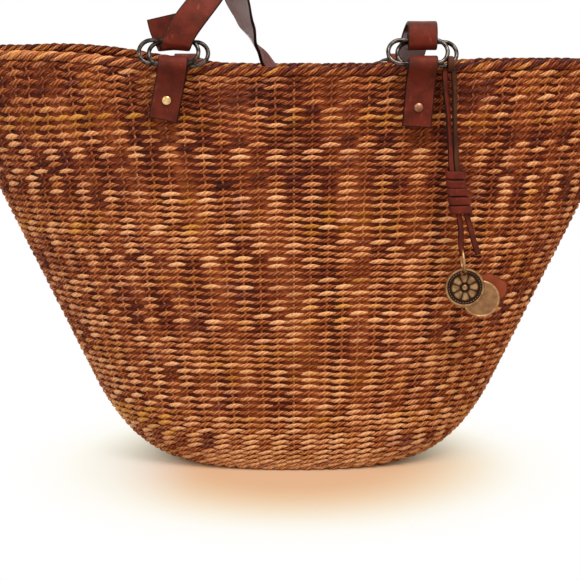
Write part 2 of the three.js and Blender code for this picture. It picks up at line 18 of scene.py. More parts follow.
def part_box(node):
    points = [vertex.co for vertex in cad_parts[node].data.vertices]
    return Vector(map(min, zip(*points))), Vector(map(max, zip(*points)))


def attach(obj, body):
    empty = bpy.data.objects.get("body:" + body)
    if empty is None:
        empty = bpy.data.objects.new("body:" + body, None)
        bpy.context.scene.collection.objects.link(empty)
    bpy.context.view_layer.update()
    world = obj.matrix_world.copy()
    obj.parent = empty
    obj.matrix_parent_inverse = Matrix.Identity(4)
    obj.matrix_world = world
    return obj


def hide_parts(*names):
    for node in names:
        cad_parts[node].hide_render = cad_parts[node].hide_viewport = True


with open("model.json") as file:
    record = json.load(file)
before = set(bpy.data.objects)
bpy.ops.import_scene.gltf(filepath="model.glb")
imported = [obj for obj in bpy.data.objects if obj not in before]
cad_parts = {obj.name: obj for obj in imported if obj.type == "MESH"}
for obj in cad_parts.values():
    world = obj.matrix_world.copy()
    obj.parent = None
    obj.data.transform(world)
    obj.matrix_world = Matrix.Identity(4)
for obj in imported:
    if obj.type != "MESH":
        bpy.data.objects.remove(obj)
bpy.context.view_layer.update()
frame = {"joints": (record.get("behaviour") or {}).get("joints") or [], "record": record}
MM = 0.001
joint_at = {joint["name"]: np.array(joint["pos_m"]) for joint in frame["joints"]}
body_of = {
    node: body for body, nodes in frame["record"]["behaviour"]["bodies"].items() for node in nodes
}

# %% [markdown]
# The camera comes first, because every later choice is judged through it. The photograph was taken from a
# little above the rim, about a metre away. A lens is set from the focal length in pixels, so that the
# picture's frame fits whatever the render size is.

# %% Camera
EYE = (-2.6 * MM, -975 * MM, 291 * MM)
LOOKING_DOWN = math.radians(10.14)
PHOTO_SIDE = 580
FOCAL_PIXELS = 1384.6
lens = bpy.data.cameras.new("photo_lens")
lens.lens = FOCAL_PIXELS / PHOTO_SIDE * lens.sensor_width
camera = bpy.data.objects.new("photo_camera", lens)
camera.location = EYE
camera.rotation_euler = (math.pi / 2 - LOOKING_DOWN, 0, 0)
bpy.context.scene.collection.objects.link(camera)
bpy.context.scene.camera = camera
bpy.context.scene.view_settings.view_transform = "Standard"
print("lens", round(lens.lens, 1), "mm")

# %% [markdown]
# Finishes are sums of a few patterns. Wiring each Math node by hand hides the sum, so a small class wraps a
# socket and answers to + - and *. Colours go through a Mix node, and any other node comes from one method.


# %% A socket that does sums
class Wire:
    """A socket of a node tree. Sums with it add Math nodes."""

    def __init__(self, tree, socket=None):
        self.tree = tree
        self.socket = socket

    def node(self, kind, settings=None, sockets=None, out=0):
        """Adds a node, sets it up, fills its sockets with values or links, and gives one of its outputs."""
        made = self.tree.nodes.new(kind)
        for name, value in (settings or {}).items():
            if name == "stops":
                fill_ramp(made.color_ramp, value)
            else:
                setattr(made, name, value)
        for name, value in (sockets or {}).items():
            if isinstance(value, Wire):
                self.tree.links.new(value.socket, made.inputs[name])
            else:
                made.inputs[name].default_value = value
        return Wire(self.tree, made.outputs[out] if made.outputs else None)

    def maths(self, operation, *values):
        """A Math node over values or wires."""
        return self.node("ShaderNodeMath", {"operation": operation}, dict(enumerate(values)))

    def mix(self, factor, first, second):
        """A colour between two."""
        sockets = {0: factor, 6: first, 7: second}
        return self.node("ShaderNodeMix", {"data_type": "RGBA"}, sockets, out=2)

    def stretched(self, x, y, z):
        """A vector with each axis scaled."""
        return self.node("ShaderNodeVectorMath", {"operation": "MULTIPLY"}, {0: self, 1: (x, y, z)})

    def between(self, low, high):
        """0 below low, 1 above high, and a smooth rise from one to the other."""
        settings = {"interpolation_type": "SMOOTHSTEP"}
        return self.node("ShaderNodeMapRange", settings, {"Value": self, "From Min": low, "From Max": high})

    def __add__(self, other):
        return self.maths("ADD", self, other)

    def __radd__(self, other):
        return self.maths("ADD", other, self)

    def __sub__(self, other):
        return self.maths("SUBTRACT", self, other)

    def __rsub__(self, other):
        return self.maths("SUBTRACT", other, self)

    def __mul__(self, other):
        return self.maths("MULTIPLY", self, other)

    def __rmul__(self, other):
        return self.maths("MULTIPLY", other, self)


def fill_ramp(ramp, stops):
    """Sets a colour ramp's stops, given as places and colours in order."""
    while len(ramp.elements) < len(stops):
        ramp.elements.new(1)
    for element, (place, colour) in zip(ramp.elements, stops):
        element.position = place
        element.color = colour


def screen(red, green, blue):
    """A colour read from a screen, 0 to 255, as linear light with full alpha."""
    parts = [value / 255 for value in (red, green, blue)]
    linear = [v / 12.92 if v <= 0.04045 else ((v + 0.055) / 1.055) ** 2.4 for v in parts]
    return (*linear, 1)


print("tan is", [round(v, 3) for v in screen(205, 145, 90)])

# %% [markdown]
# The bag stands on a pale floor that fades to white. A bright lamp could bleach the background, but it
# would bleach the bag too. Instead the world is white only to the camera and to reflections, and lights
# the bag at a plain level. Two large soft lamps shape the weave from above.

# %% World and lamps
WHITE = (1, 1, 1, 1)
DAYLIGHT = (1, 0.985, 0.965, 1)
AMBIENT = 0.66
KEY = {"place": (0.3, -0.65, 1.35), "aim": (0, 0, 0.16), "size": 0.7, "power": 15}
FILL = {"place": (-0.9, -0.7, 0.8), "aim": (0, 0, 0.15), "size": 0.9, "power": 3.5}


def seen_directly(wire):
    """1 for rays from the camera, and for those that a mirror or glass sends on."""
    kinds = ("Camera", "Glossy", "Transmission")
    seen, mirrored, through = (wire.node("ShaderNodeLightPath", out=f"Is {kind} Ray") for kind in kinds)
    return wire.maths("MINIMUM", seen + mirrored + through, 1)


world = bpy.data.worlds.new("studio")
world.use_nodes = True
world.node_tree.nodes.clear()
sky = Wire(world.node_tree)
lit = sky.node("ShaderNodeBackground", None, {"Color": DAYLIGHT, "Strength": AMBIENT})
white = sky.node("ShaderNodeBackground", None, {"Color": WHITE, "Strength": 1})
sky.node(
    "ShaderNodeOutputWorld",
    None,
    {"Surface": sky.node("ShaderNodeMixShader", None, {0: seen_directly(sky), 1: lit, 2: white})},
)
bpy.context.scene.world = world


def soft_lamp(name, place, aim, size, power):
    """A square lamp of this size, turned towards a point."""
    data = bpy.data.lights.new(name, "AREA")
    data.size = size
    data.energy = power
    lamp = bpy.data.objects.new(name, data)
    lamp.location = place
    lamp.rotation_euler = (Vector(aim) - Vector(place)).to_track_quat("-Z", "Y").to_euler()
    bpy.context.scene.collection.objects.link(lamp)


soft_lamp("key_lamp", **KEY)
soft_lamp("fill_lamp", **FILL)
print("ambient", AMBIENT, "key", KEY["power"], "fill", FILL["power"])

# %% [markdown]
# The bag throws its own warm colour on the floor before it, and a grey shade to its left. Real bounce light
# would do that too, but then the white of the rest would need a lamp that bleaches the bag. So the paint is
# tinted in an oval round the foot, and outside the oval the floor turns to cream and then to plain white.

# %% Floor
FLOOR_HALF = 6.0
OVAL = (0.172, 0.154)
OVAL_FORWARD = 0.032
FADE_FROM = 0.34
FADE_TO = 0.97
CREAM_TO = 1.2
LEFT_SHADE = (-0.14, -0.06)
LILAC = screen(206, 200, 208)
PEACH = screen(204, 165, 130)
CREAM = screen(254, 244, 208)


def new_finish(name):
    """An empty material and a wire to build its nodes with."""
    material = bpy.data.materials.new(name)
    material.use_nodes = True
    material.node_tree.nodes.clear()
    return material, Wire(material.node_tree)


def floor_finish():
    """A pale floor that takes the shadow near the bag and turns white farther off."""
    material, wire = new_finish("pale_floor")
    place = wire.node("ShaderNodeTexCoord", out="Object")
    moved = wire.node("ShaderNodeVectorMath", {"operation": "ADD"}, {0: place, 1: (0, OVAL_FORWARD, 0)})
    oval = moved.stretched(1 / OVAL[0], 1 / OVAL[1], 1)
    reach = wire.node("ShaderNodeVectorMath", {"operation": "LENGTH"}, {0: oval}, "Value")
    along = wire.node("ShaderNodeSeparateXYZ", None, {0: place}, "X")
    paint = wire.mix(along.between(*LEFT_SHADE), LILAC, PEACH)
    matt = wire.node("ShaderNodeBsdfDiffuse", None, {"Color": paint, "Roughness": 0.9})
    cream = wire.mix(reach.between(FADE_FROM, CREAM_TO), CREAM, WHITE)
    glow = wire.node("ShaderNodeEmission", None, {"Color": cream, "Strength": 1})
    far = wire.maths("MULTIPLY", reach.between(FADE_FROM, FADE_TO), seen_directly(wire))
    wire.node(
        "ShaderNodeOutputMaterial",
        None,
        {"Surface": wire.node("ShaderNodeMixShader", None, {0: far, 1: matt, 2: glow})},
    )
    return material


floor_mesh = bpy.data.meshes.new("floor")
corners = [(x * FLOOR_HALF, y * FLOOR_HALF, 0) for x, y in ((-1, -1), (1, -1), (1, 1), (-1, 1))]
floor_mesh.from_pydata(corners, [], [(0, 1, 2, 3)])
floor_mesh.materials.append(floor_finish())
floor = bpy.data.objects.new("floor", floor_mesh)
bpy.context.scene.collection.objects.link(floor)
print("floor is white beyond", [CREAM_TO * half for half in OVAL], "m")

# %% [markdown]
# Almost everything on a bag is a strip, a cord or a wire: a flat section carried along a path. A curve with
# a bevel would do it too, but a sweep of our own keeps each point's place along and across the strip, which
# the finishes read later. Faces are turned outwards by the sign of the enclosed volume.


# %% Sweeps
def unit(vectors):
    """The vectors, each with length 1."""
    return vectors / np.linalg.norm(vectors, axis=-1, keepdims=True)


def facing_out(points, faces):
    """The quads, turned over if they enclose a negative volume."""
    a, b, c, d = (points[faces[:, i]] for i in range(4))
    twice = np.einsum("ij,ij->i", a, np.cross(b, c)) + np.einsum("ij,ij->i", a, np.cross(c, d))
    return faces if twice.sum() > 0 else faces[:, ::-1]


def loft(sections, closed):
    """Joins sections, an array of stations by points, into quads."""
    count, sides = sections.shape[:2]
    here = np.arange(count if closed else count - 1)[:, None] * sides
    there = (here + sides) % (count * sides)
    side = np.arange(sides)
    following = (side + 1) % sides
    quads = [here + side, here + following, there + following, there + side]
    return sections.reshape(-1, 3), np.stack(quads, -1).reshape(-1, 4)


def sweep(centres, across, up, section, closed):
    """Carries a section, or one section for each station, along a path. Gives points and quads."""
    section = np.asarray(section)
    shape = np.broadcast_to(section, (len(centres), *section.shape[-2:]))
    return loft(centres[:, None] + shape[..., :1] * across[:, None] + shape[..., 1:] * up[:, None], closed)


def with_ends(points, faces, sides):
    """The quads of an open sweep, facing out, and a face over each end."""
    turned = facing_out(points, faces)
    start = np.arange(sides)[::-1]
    end = len(points) - sides + np.arange(sides)
    if turned is not faces:
        start, end = start[::-1], end[::-1]
    return [*turned.tolist(), start.tolist(), end.tolist()]


def circle(radius, sides, squash=1.0):
    """A round section, or an oval one."""
    angle = np.arange(sides) * 2 * math.pi / sides
    return np.stack([radius * np.cos(angle), radius * squash * np.sin(angle)], -1)


def piece(name, node, points, faces, finish, sharp=None, **values):
    """Makes one piece that stands for a CAD node and rides on its body, with a value for each point."""
    mesh = bpy.data.meshes.new(name)
    listed = faces.tolist() if isinstance(faces, np.ndarray) else faces
    mesh.from_pydata(np.asarray(points).tolist(), [], listed)
    for key, value in values.items():
        vector = np.ndim(value) == 2
        layer = mesh.attributes.new(key, "FLOAT_VECTOR" if vector else "FLOAT", "POINT")
        layer.data.foreach_set("vector" if vector else "value", np.ravel(value).astype(np.float32))
    mesh.shade_smooth()
    if sharp:
        mesh.set_sharp_from_angle(angle=math.radians(sharp))
    mesh.materials.append(finish)
    made = bpy.data.objects.new(name, mesh)
    bpy.context.scene.collection.objects.link(made)
    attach(made, body_of[node])
    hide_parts(node)
    return made


points, faces = sweep(np.zeros((3, 3)), np.eye(3), np.eye(3), circle(1, 8), True)
print("a closed sweep of 3 stations and 8 sides has", len(faces), "quads")

# %% [markdown]
# The fibre is sisal: dull, streaky strands dyed in tan, gold, plum and red-brown. Each point of a strand
# carries a tone from dark to light and a hue from plum, below 0, to gold, above 0. Ramps turn the tone into
# a colour, and noise stretched along the strand adds the fibres, in the colour, the roughness and the bump.
# A yarn is laid from plies, so a cosine of the turn round the strand adds their slanting furrows.


# %% Fibre finish
def surface(wire, **sockets):
    """Ends a finish with a Principled shader. Underscores in the names stand for spaces."""
    named = {key.replace("_", " "): value for key, value in sockets.items()}
    shader = wire.node("ShaderNodeBsdfPrincipled", None, named)
    wire.node("ShaderNodeOutputMaterial", None, {"Surface": shader})


def attribute(wire, name, out="Fac"):
    """A value that the points of a mesh carry."""
    return wire.node("ShaderNodeAttribute", {"attribute_name": name}, out=out)


PLIES = 3


def fibre_finish():
    """Dyed sisal. Points carry tone, hue, and lay: the way along the strand and the turn round it."""
    material, wire = new_finish("dyed_sisal")
    lay = attribute(wire, "lay", "Vector")
    streaks = {"Vector": lay.stretched(160, 2.6, 2.6), "Scale": 1, "Detail": 3}
    streak = wire.node("ShaderNodeTexNoise", None, streaks)
    hairs = {"Vector": lay.stretched(420, 7, 7), "Scale": 1, "Detail": 2}
    hair = wire.node("ShaderNodeTexNoise", None, hairs)
    across, out = (wire.node("ShaderNodeSeparateXYZ", None, {0: lay}, axis) for axis in "YZ")
    ply = wire.maths("COSINE", wire.maths("ARCTAN2", out, across) * PLIES)
    tone = attribute(wire, "tone") + (streak - 0.5) * 0.45 + (hair - 0.5) * 0.34 + ply * 0.16
    tans = [
        (0.0, screen(56, 17, 7)),
        (0.25, screen(105, 39, 16)),
        (0.5, screen(162, 84, 39)),
        (0.75, screen(214, 139, 83)),
        (1.0, screen(246, 184, 128)),
    ]
    golds = [(0.0, screen(78, 34, 7)), (0.5, screen(162, 92, 27)), (1.0, screen(228, 159, 71))]
    plums = [(0.0, screen(50, 16, 12)), (0.5, screen(117, 52, 37)), (1.0, screen(212, 142, 105))]
    tan, gold, plum = (
        wire.node("ShaderNodeValToRGB", {"stops": stops}, {"Fac": tone}) for stops in (tans, golds, plums)
    )
    hue = attribute(wire, "hue")
    colour = wire.mix(wire.maths("MAXIMUM", hue, 0), tan, gold)
    colour = wire.mix(wire.maths("MAXIMUM", 0 - hue, 0), colour, plum)
    heights = {"Height": streak * 0.5 + hair * 0.25 + ply * 0.4, "Strength": 1, "Distance": 0.6 * MM}
    bump = wire.node("ShaderNodeBump", None, heights)
    rough = 0.62 + hair * 0.3
    surface(wire, Base_Color=colour, Roughness=rough, Normal=bump, Specular_IOR_Level=0.2)
    return material


sisal = fibre_finish()
print("finish", sisal.name, "has", len(sisal.node_tree.nodes), "nodes")

# %% [markdown]
# The wall is twined: in each row two strands twist round each other, and a spoke passes through every half
# twist. One could paint that on a shell with a bump map, but the edge of the bag would stay smooth and the
# rows would throw no shadow. Here every strand is real. First comes the wall's profile from the rim to the
# middle of the base, taken half a wall inside the CAD skin.

# %% Basket profile
FOOT_HALF_W = 74 * MM
FOOT_HALF_D = 55 * MM
KNEE_Z = 58 * MM
KNEE_HALF_W = 143.4 * MM
KNEE_HALF_D = 63.9 * MM
RIM_HALF_W = 246 * MM
RIM_HALF_D = 75 * MM
RIM_Z = 276 * MM
WALL_T = 5 * MM
PLAN_POWER = 2.6
RISE_FRONT_LEFT = 9 * MM
RISE_BACK_LEFT = 15 * MM
RISE_RIGHT = 4 * MM
BRAID_R = 3.25 * MM
GAP = 0.3 * MM
WALL_TOP = RIM_Z - 2 * BRAID_R - GAP
RISE_STARTS_Z = 227 * MM
RISE_SPAN = (0.15, 0.7)
BASE_HOLE_R = 1.5 * MM
FRONT_SHARE = 0.55
FLARE_W = (RIM_HALF_W - KNEE_HALF_W) / (RIM_Z - KNEE_Z)
FLARE_D = (RIM_HALF_D - KNEE_HALF_D) / (RIM_Z - KNEE_Z)


def half_sizes(z):
    """The outer half width and half depth of the straight wall at a height."""
    return RIM_HALF_W - FLARE_W * (RIM_Z - z), RIM_HALF_D - FLARE_D * (RIM_Z - z)


def plan(turn):
    """The oval of half sizes 1 that the basket follows at every height."""
    power = 2 / PLAN_POWER
    c, s = np.cos(turn), np.sin(turn)
    return np.sign(c) * np.abs(c) ** power, np.sign(s) * np.abs(s) ** power


def smoothstep(low, high, value):
    """0 below low, 1 above high, and a smooth rise from one to the other."""
    t = np.clip((value - low) / (high - low), 0, 1)
    return t * t * (3 - 2 * t)


def rim_rise(turn):
    """How much higher the soft rim stands at its ends."""
    x = plan(turn)[0]
    back = (1 + np.sin(turn)) / 2
    left = RISE_FRONT_LEFT + (RISE_BACK_LEFT - RISE_FRONT_LEFT) * back
    return smoothstep(*RISE_SPAN, np.abs(x)) * np.where(x < 0, left, RISE_RIGHT)


def basket_profile():
    """Half width, half depth and height of the wall's middle, and the mean way down it from the rim."""
    wall_z = np.linspace(WALL_TOP, KNEE_Z, 200)
    wall = np.stack([*half_sizes(wall_z), wall_z])
    t = np.linspace(1, 0, 60)[1:]
    corner = half_sizes(0)

    def bend(start, through, end):
        """A curve from one value to another, drawn towards a third."""
        return (1 - t) ** 2 * start + 2 * t * (1 - t) * through + t**2 * end

    foot = [bend(FOOT_HALF_W, corner[0], KNEE_HALF_W), bend(FOOT_HALF_D, corner[1], KNEE_HALF_D)]
    foot = np.stack([*foot, bend(0, 0, KNEE_Z)])
    inset = np.linspace(0, FOOT_HALF_D - BASE_HOLE_R, 60)[1:]
    base = np.stack([FOOT_HALF_W - inset, FOOT_HALF_D - inset, 0 * inset])
    skin = np.hstack([wall, foot, base])
    middle = []
    for half in (0, 1):
        curve = skin[[half, 2]]
        along = np.gradient(curve, axis=1)
        along /= np.linalg.norm(along, axis=0)
        middle.append(curve - WALL_T / 2 * np.stack([-along[1], along[0]]))
    profile = np.stack([middle[0][0], middle[1][0], (middle[0][1] + middle[1][1]) / 2])
    drop = np.diff(profile[2])
    at_front, at_ends = np.hypot(np.diff(profile[1]), drop), np.hypot(np.diff(profile[0]), drop)
    steps = FRONT_SHARE * at_front + (1 - FRONT_SHARE) * at_ends
    return profile, np.concatenate([[0], np.cumsum(steps)])


profile, profile_way = basket_profile()
print("profile is", round(profile_way[-1] / MM), "mm long from the rim to the middle of the base")

# %% [markdown]
# A row needs three things at each of its points: the place on the wall, the way out and the way up. Rows in
# a handmade basket wander a little, and more spokes come in as it widens, so the spoke spacing sets the
# number of half twists, rounded to an even number so that each strand meets its own end.

# %% Rows of twining
ROW_PITCH = 4.8 * MM
SPOKE_MIDDLE = 11.2 * MM
SPOKE_ENDS = 9.0 * MM
SPOKES_CLOSE_IN = (60 * MM, 130 * MM)
FAN = 0.35
FAN_LENGTH = 850 * MM
TWIST_STEPS = 6
WANDER = 3.2 * MM
WANDER_LENGTH = 85 * MM
WANDER_ENDS = 290 * MM
STEADY_TOP = 30 * MM
STEADY_FOOT = 40 * MM
DENSE = 2400
NUDGE = 0.002


def noise_over(places, seed):
    """Smooth noise from -1 to 1 at flat places. Seeds that lie near each other give patterns alike."""
    return np.array([noise.noise((x, y, seed)) for x, y in places])


def noise_along(way, first_seed, second_seed):
    """Smooth noise from -1 to 1 along a line."""
    return np.array([noise.noise((step, first_seed, second_seed)) for step in way])


class Row:
    """One row of twining: its points, ways out and up, twist and pitch, from the middle of the front."""

    def __init__(self, number, way):
        self.number = number
        self.way = way
        dense = np.linspace(-math.pi / 2, 1.5 * math.pi, DENSE)
        trail = self.places(dense)
        steps = np.linalg.norm(np.diff(trail, axis=0), axis=1)
        length = np.concatenate([[0], np.cumsum(steps)])
        near_ends = smoothstep(*SPOKES_CLOSE_IN, np.abs(trail[:, 0]))
        spacing = SPOKE_MIDDLE + (SPOKE_ENDS - SPOKE_MIDDLE) * near_ends
        spacing *= (length[-1] / FAN_LENGTH) ** FAN
        middle = (spacing[1:] + spacing[:-1]) / 2
        twist = math.pi * np.concatenate([[0], np.cumsum(steps / middle)])
        self.spokes = max(2 * round(twist[-1] / math.pi / 2), 8)
        twist *= self.spokes * math.pi / twist[-1]
        self.twist = np.arange(self.spokes * TWIST_STEPS) * math.pi / TWIST_STEPS
        turn = np.interp(self.twist, twist, dense)
        self.length = np.interp(self.twist, twist, length)
        self.centres = self.places(turn)
        along = self.places(turn + NUDGE) - self.places(turn - NUDGE)
        above = Row.wall(way - ROW_PITCH / 2, turn) - Row.wall(way + ROW_PITCH / 2, turn)
        self.pitch = np.linalg.norm(above, axis=1)
        self.out = unit(np.cross(along, above))
        self.up = unit(np.cross(self.out, along))

    @staticmethod
    def wall(way, turn):
        """Points of the wall's middle this far down from the rim."""
        half_w, half_d, z = (np.interp(way, profile_way, line) for line in profile)
        x, y = plan(turn)
        lift = np.clip((z - RISE_STARTS_Z) / (WALL_TOP - RISE_STARTS_Z), 0, 1)
        return np.stack([half_w * x, half_d * y, z + lift * rim_rise(turn)], -1)

    def places(self, turn):
        """The row's own points, with its wander up and down the wall."""
        points = Row.wall(self.way, turn)
        free = smoothstep(0, STEADY_TOP, self.way) * smoothstep(0, STEADY_FOOT, WANDER_ENDS - self.way)
        if free == 0:
            return points
        drift = noise_over(points[:, :2] / WANDER_LENGTH, self.number * 0.09)
        return Row.wall(self.way - WANDER * free * drift, turn)


row_count = int(profile_way[-1] / ROW_PITCH)
rows = [Row(i, (i + 0.5) * ROW_PITCH) for i in range(row_count)]
print(row_count, "rows with", rows[0].spokes, "to", rows[-1].spokes, "spokes")

# %% [markdown]
# The dye is what one sees first. The two strands of a row often differ, which gives light and dark dashes in
# turn, and the bands change with height. The list below gives, from the rim down, the tone of the first and
# of the second strand and the share of gold. These tones also rise towards the foot, and that rise is painted
# light, standing for the brighter light on the lower wall. Noise along the strand then breaks the bands up,
# because a strand is dyed in lengths and joined as it runs out, and no two dashes are quite alike. The first
# strand changes most from length to length, which leaves some rows bright with dashes and others dull.

# %% Dye bands and painted light
# Tones are dye bands, and their rise towards the foot is painted light for a brighter lower wall.
BANDS = [
    (276, 0.65, 0.44, 0.15),
    (266, 0.65, 0.43, 0.15),
    (257, 0.58, 0.34, 0.05),
    (250, 0.60, 0.38, 0.20),
    (243, 0.64, 0.48, 0.55),
    (236, 0.60, 0.43, 0.35),
    (230, 0.52, 0.30, 0.10),
    (220, 0.63, 0.34, 0.05),
    (212, 0.64, 0.39, 0.05),
    (204, 0.74, 0.36, 0.05),
    (190, 0.75, 0.37, 0.10),
    (183, 0.78, 0.52, 0.35),
    (170, 0.79, 0.56, 0.35),
    (157, 0.77, 0.52, 0.25),
    (140, 0.79, 0.50, 0.12),
    (110, 0.81, 0.52, 0.12),
    (80, 0.82, 0.53, 0.14),
    (62, 0.88, 0.60, 0.28),
    (52, 0.84, 0.55, 0.10),
    (45, 0.83, 0.54, 0.10),
    (38, 0.97, 0.71, 0.40),
    (28, 0.99, 0.68, 0.25),
    (19, 0.92, 0.58, 0.10),
    (10, 0.99, 0.78, 0.25),
    (0, 0.97, 0.74, 0.20),
]
DYE_LENGTH = 62 * MM
DASH_TONE = 0.09
LENGTH_TONE = 0.17
RUN_TONE = 0.28
BLOT_TONE = 0.2
BLOT_HUE = 0.8
GOLD_SHARES = (0.3, 0.85)
PLUM_SHARES = (-0.1, 0.45)
MOST_PLUM = 0.9
band_z, *band_dyes_and_light = np.array(sorted(BANDS)).T


def dye_and_light_of(row, strand, twist, random):
    """Tone and hue at each point of a strand. Each dash, from one dive to the next, has a tone of its own."""
    z = row.centres[:, 2] / MM
    # The tone by height holds the dye bands and the painted light of the brighter lower wall.
    tone = np.interp(z, band_z, band_dyes_and_light[strand])
    far = row.centres[:, :2] / DYE_LENGTH
    run = noise_over(far, row.number * 0.33 + 7.7 * strand)
    blot = noise_over(2.3 * far, row.number * 0.21 + 40 + 3.1 * strand)
    join = noise_over(0.4 * far, row.number * 1.7 + 20)
    tone = tone + (1 - strand) * LENGTH_TONE * np.tanh(5 * join)
    dash = np.round(twist / math.pi).astype(int) % row.spokes
    tone = tone + RUN_TONE * run + BLOT_TONE * blot + random.normal(0, DASH_TONE, row.spokes)[dash]
    share = np.interp(z, band_z, band_dyes_and_light[2]) + BLOT_HUE * np.roll(blot, 9) + random.normal(0, 0.08)
    hue = smoothstep(*GOLD_SHARES, share) - MOST_PLUM * smoothstep(*PLUM_SHARES, -share)
    return np.clip(tone, 0.02, 1.1), hue


tone, hue = dye_and_light_of(rows[4], 0, rows[4].twist, np.random.default_rng(0))
print("the fifth row's tone runs from", round(tone.min(), 2), "to", round(tone.max(), 2))

# %% [markdown]
# Now the strands. Each one circles its row's middle line: out over a spoke, down between spokes, and in
# behind the next. It is widest where it lies over a spoke and narrow where it dives, which makes the pointed
# dash of real twining. The strands of a band of rows share one mesh, with a map that lays each strand out as
# a strip.

# %% Strands
WEFT_SIDES = 6
WEFT_OUT = 1.3 * MM
WEFT_UP = 0.3 * MM
WEFT_UP_EDGES = 0.6 * MM
WEFT_ARCH = 0.55 * MM
WEFT_HALF_T = 1.08 * MM
WEFT_NARROW = 0.95 * MM
WEFT_WIDE = 1.8 * MM
WEFT_POINT = 1.3
RAGGED = 0.06
WOBBLE_LENGTH = 9 * MM
WOBBLE_OUT = 0.12 * MM
WOBBLE_UP = 0.32 * MM
WOBBLE_WIDE = 0.16
TOP_EDGE = (232 * MM, 262 * MM)
FOOT_EDGE = (15 * MM, 55 * MM)
YARN_TURN = 11 * MM
MAP_NAME = "OFBake"
MAP_MARGIN = 0.04


def strand_sections(twist, swell, random):
    """Oval sections, wide over a spoke and narrow between spokes, a little ragged all round."""
    wide = WEFT_NARROW + (WEFT_WIDE - WEFT_NARROW) * np.abs(np.cos(twist)) ** WEFT_POINT
    oval = circle(1, WEFT_SIDES)[None] * random.normal(1, RAGGED, (len(twist), WEFT_SIDES, 1))
    return oval * np.stack([np.full_like(wide, WEFT_HALF_T), wide * swell], -1)[:, None]


def lay_of(length, sides):
    """The way along a strand, and its turn as a cosine and a sine, twisted as the yarn is."""
    angle = np.arange(sides) * 2 * math.pi / sides
    turn = angle[None] - length[:, None] * 2 * math.pi / YARN_TURN
    way = np.broadcast_to(length[:, None], turn.shape)
    return np.stack([way, np.cos(turn), np.sin(turn)], -1).reshape(-1, 3)


def strip_map(stations, sides, strip, strips):
    """Map corners of a closed sweep, as one strip of a stack."""
    u = np.arange(stations)[:, None] / stations
    v = np.arange(sides)[None] / sides
    du, dv = 1 / stations, 1 / sides
    corners = [(u, v), (u, v + dv), (u + du, v + dv), (u + du, v)]
    grid = []
    for a, b in corners:
        within = MAP_MARGIN + (1 - 2 * MAP_MARGIN) * b
        grid.append(np.stack(np.broadcast_arrays(a, (strip + within) / strips), -1))
    return np.stack(grid, 2).reshape(-1, 4, 2)


class Bundle:
    """Strands gathered for one mesh."""

    def __init__(self, strips):
        self.strips = strips
        self.parts = {key: [] for key in ("points", "faces", "map", "tone", "hue", "lay")}
        self.count = 0
        self.strip = 0

    def add(self, points, faces, tone, hue, length, sides):
        """Takes in one strand, with a tone, a hue and a length for each of its stations."""
        stations = len(length)
        corners = strip_map(stations, sides, self.strip, self.strips)[: len(faces)]
        if facing_out(points, faces) is not faces:
            faces, corners = faces[:, ::-1], corners[:, ::-1]
        self.parts["points"].append(points)
        self.parts["faces"].append(faces + self.count)
        self.parts["map"].append(corners)
        self.parts["tone"].append(np.repeat(tone, sides))
        self.parts["hue"].append(np.repeat(hue, sides))
        self.parts["lay"].append(lay_of(length, sides))
        self.count += len(points)
        self.strip += 1

    def finish(self, name, node):
        """Makes one piece of all the strands, with their map."""
        joined = {key: np.concatenate(parts) for key, parts in self.parts.items()}
        values = {key: joined[key] for key in ("tone", "hue", "lay")}
        made = piece(name, node, joined["points"], joined["faces"], sisal, **values)
        layer = made.data.uv_layers.new(name=MAP_NAME)
        layer.uv.foreach_set("vector", joined["map"].astype(np.float32).ravel())
        print(name, "has", self.strip, "strands and", len(joined["faces"]), "quads")
        return made


def twine(row, strand, swapped, random):
    """One strand of a row: points, quads, tone and hue."""
    twist = row.twist + math.pi * strand
    wobble = noise_along(row.length / WOBBLE_LENGTH, row.number * 3.7, strand * 5.1)
    z = row.centres[:, 2]
    near_edge = smoothstep(*TOP_EDGE, z) + 1 - smoothstep(*FOOT_EDGE, z)
    out = (WEFT_OUT + WOBBLE_OUT * wobble) * np.cos(twist)
    up = (WEFT_UP + WEFT_UP_EDGES * near_edge) * np.sin(twist) + WEFT_ARCH * (np.abs(np.cos(twist)) - 0.6)
    up = up + WOBBLE_UP * np.roll(wobble, 5)
    centres = row.centres + out[:, None] * row.out + up[:, None] * row.up
    swell = (1 + WOBBLE_WIDE * wobble) * np.clip(row.pitch / ROW_PITCH, 0.8, 1.6)
    points, faces = sweep(centres, row.out, row.up, strand_sections(twist, swell, random), True)
    dye_and_light = dye_and_light_of(row, 1 - strand if swapped else strand, twist, random)
    return points, faces, *dye_and_light


WALL_BANDS = {
    "upper_weave": (0, 15),
    "middle_weave": (15, 30),
    "lower_weave": (30, 45),
    "foot_weave": (45, row_count),
}
SWAP_SHARE = 0.5
random = np.random.default_rng(11)
swapped = np.cumsum(random.random(row_count) < SWAP_SHARE) % 2 == 1
for name, (first, last) in WALL_BANDS.items():
    bundle = Bundle(2 * (last - first))
    for row in rows[first:last]:
        for strand in (0, 1):
            bundle.add(*twine(row, strand, swapped[row.number], random), row.length, WEFT_SIDES)
    bundle.finish(name, "woven_body")
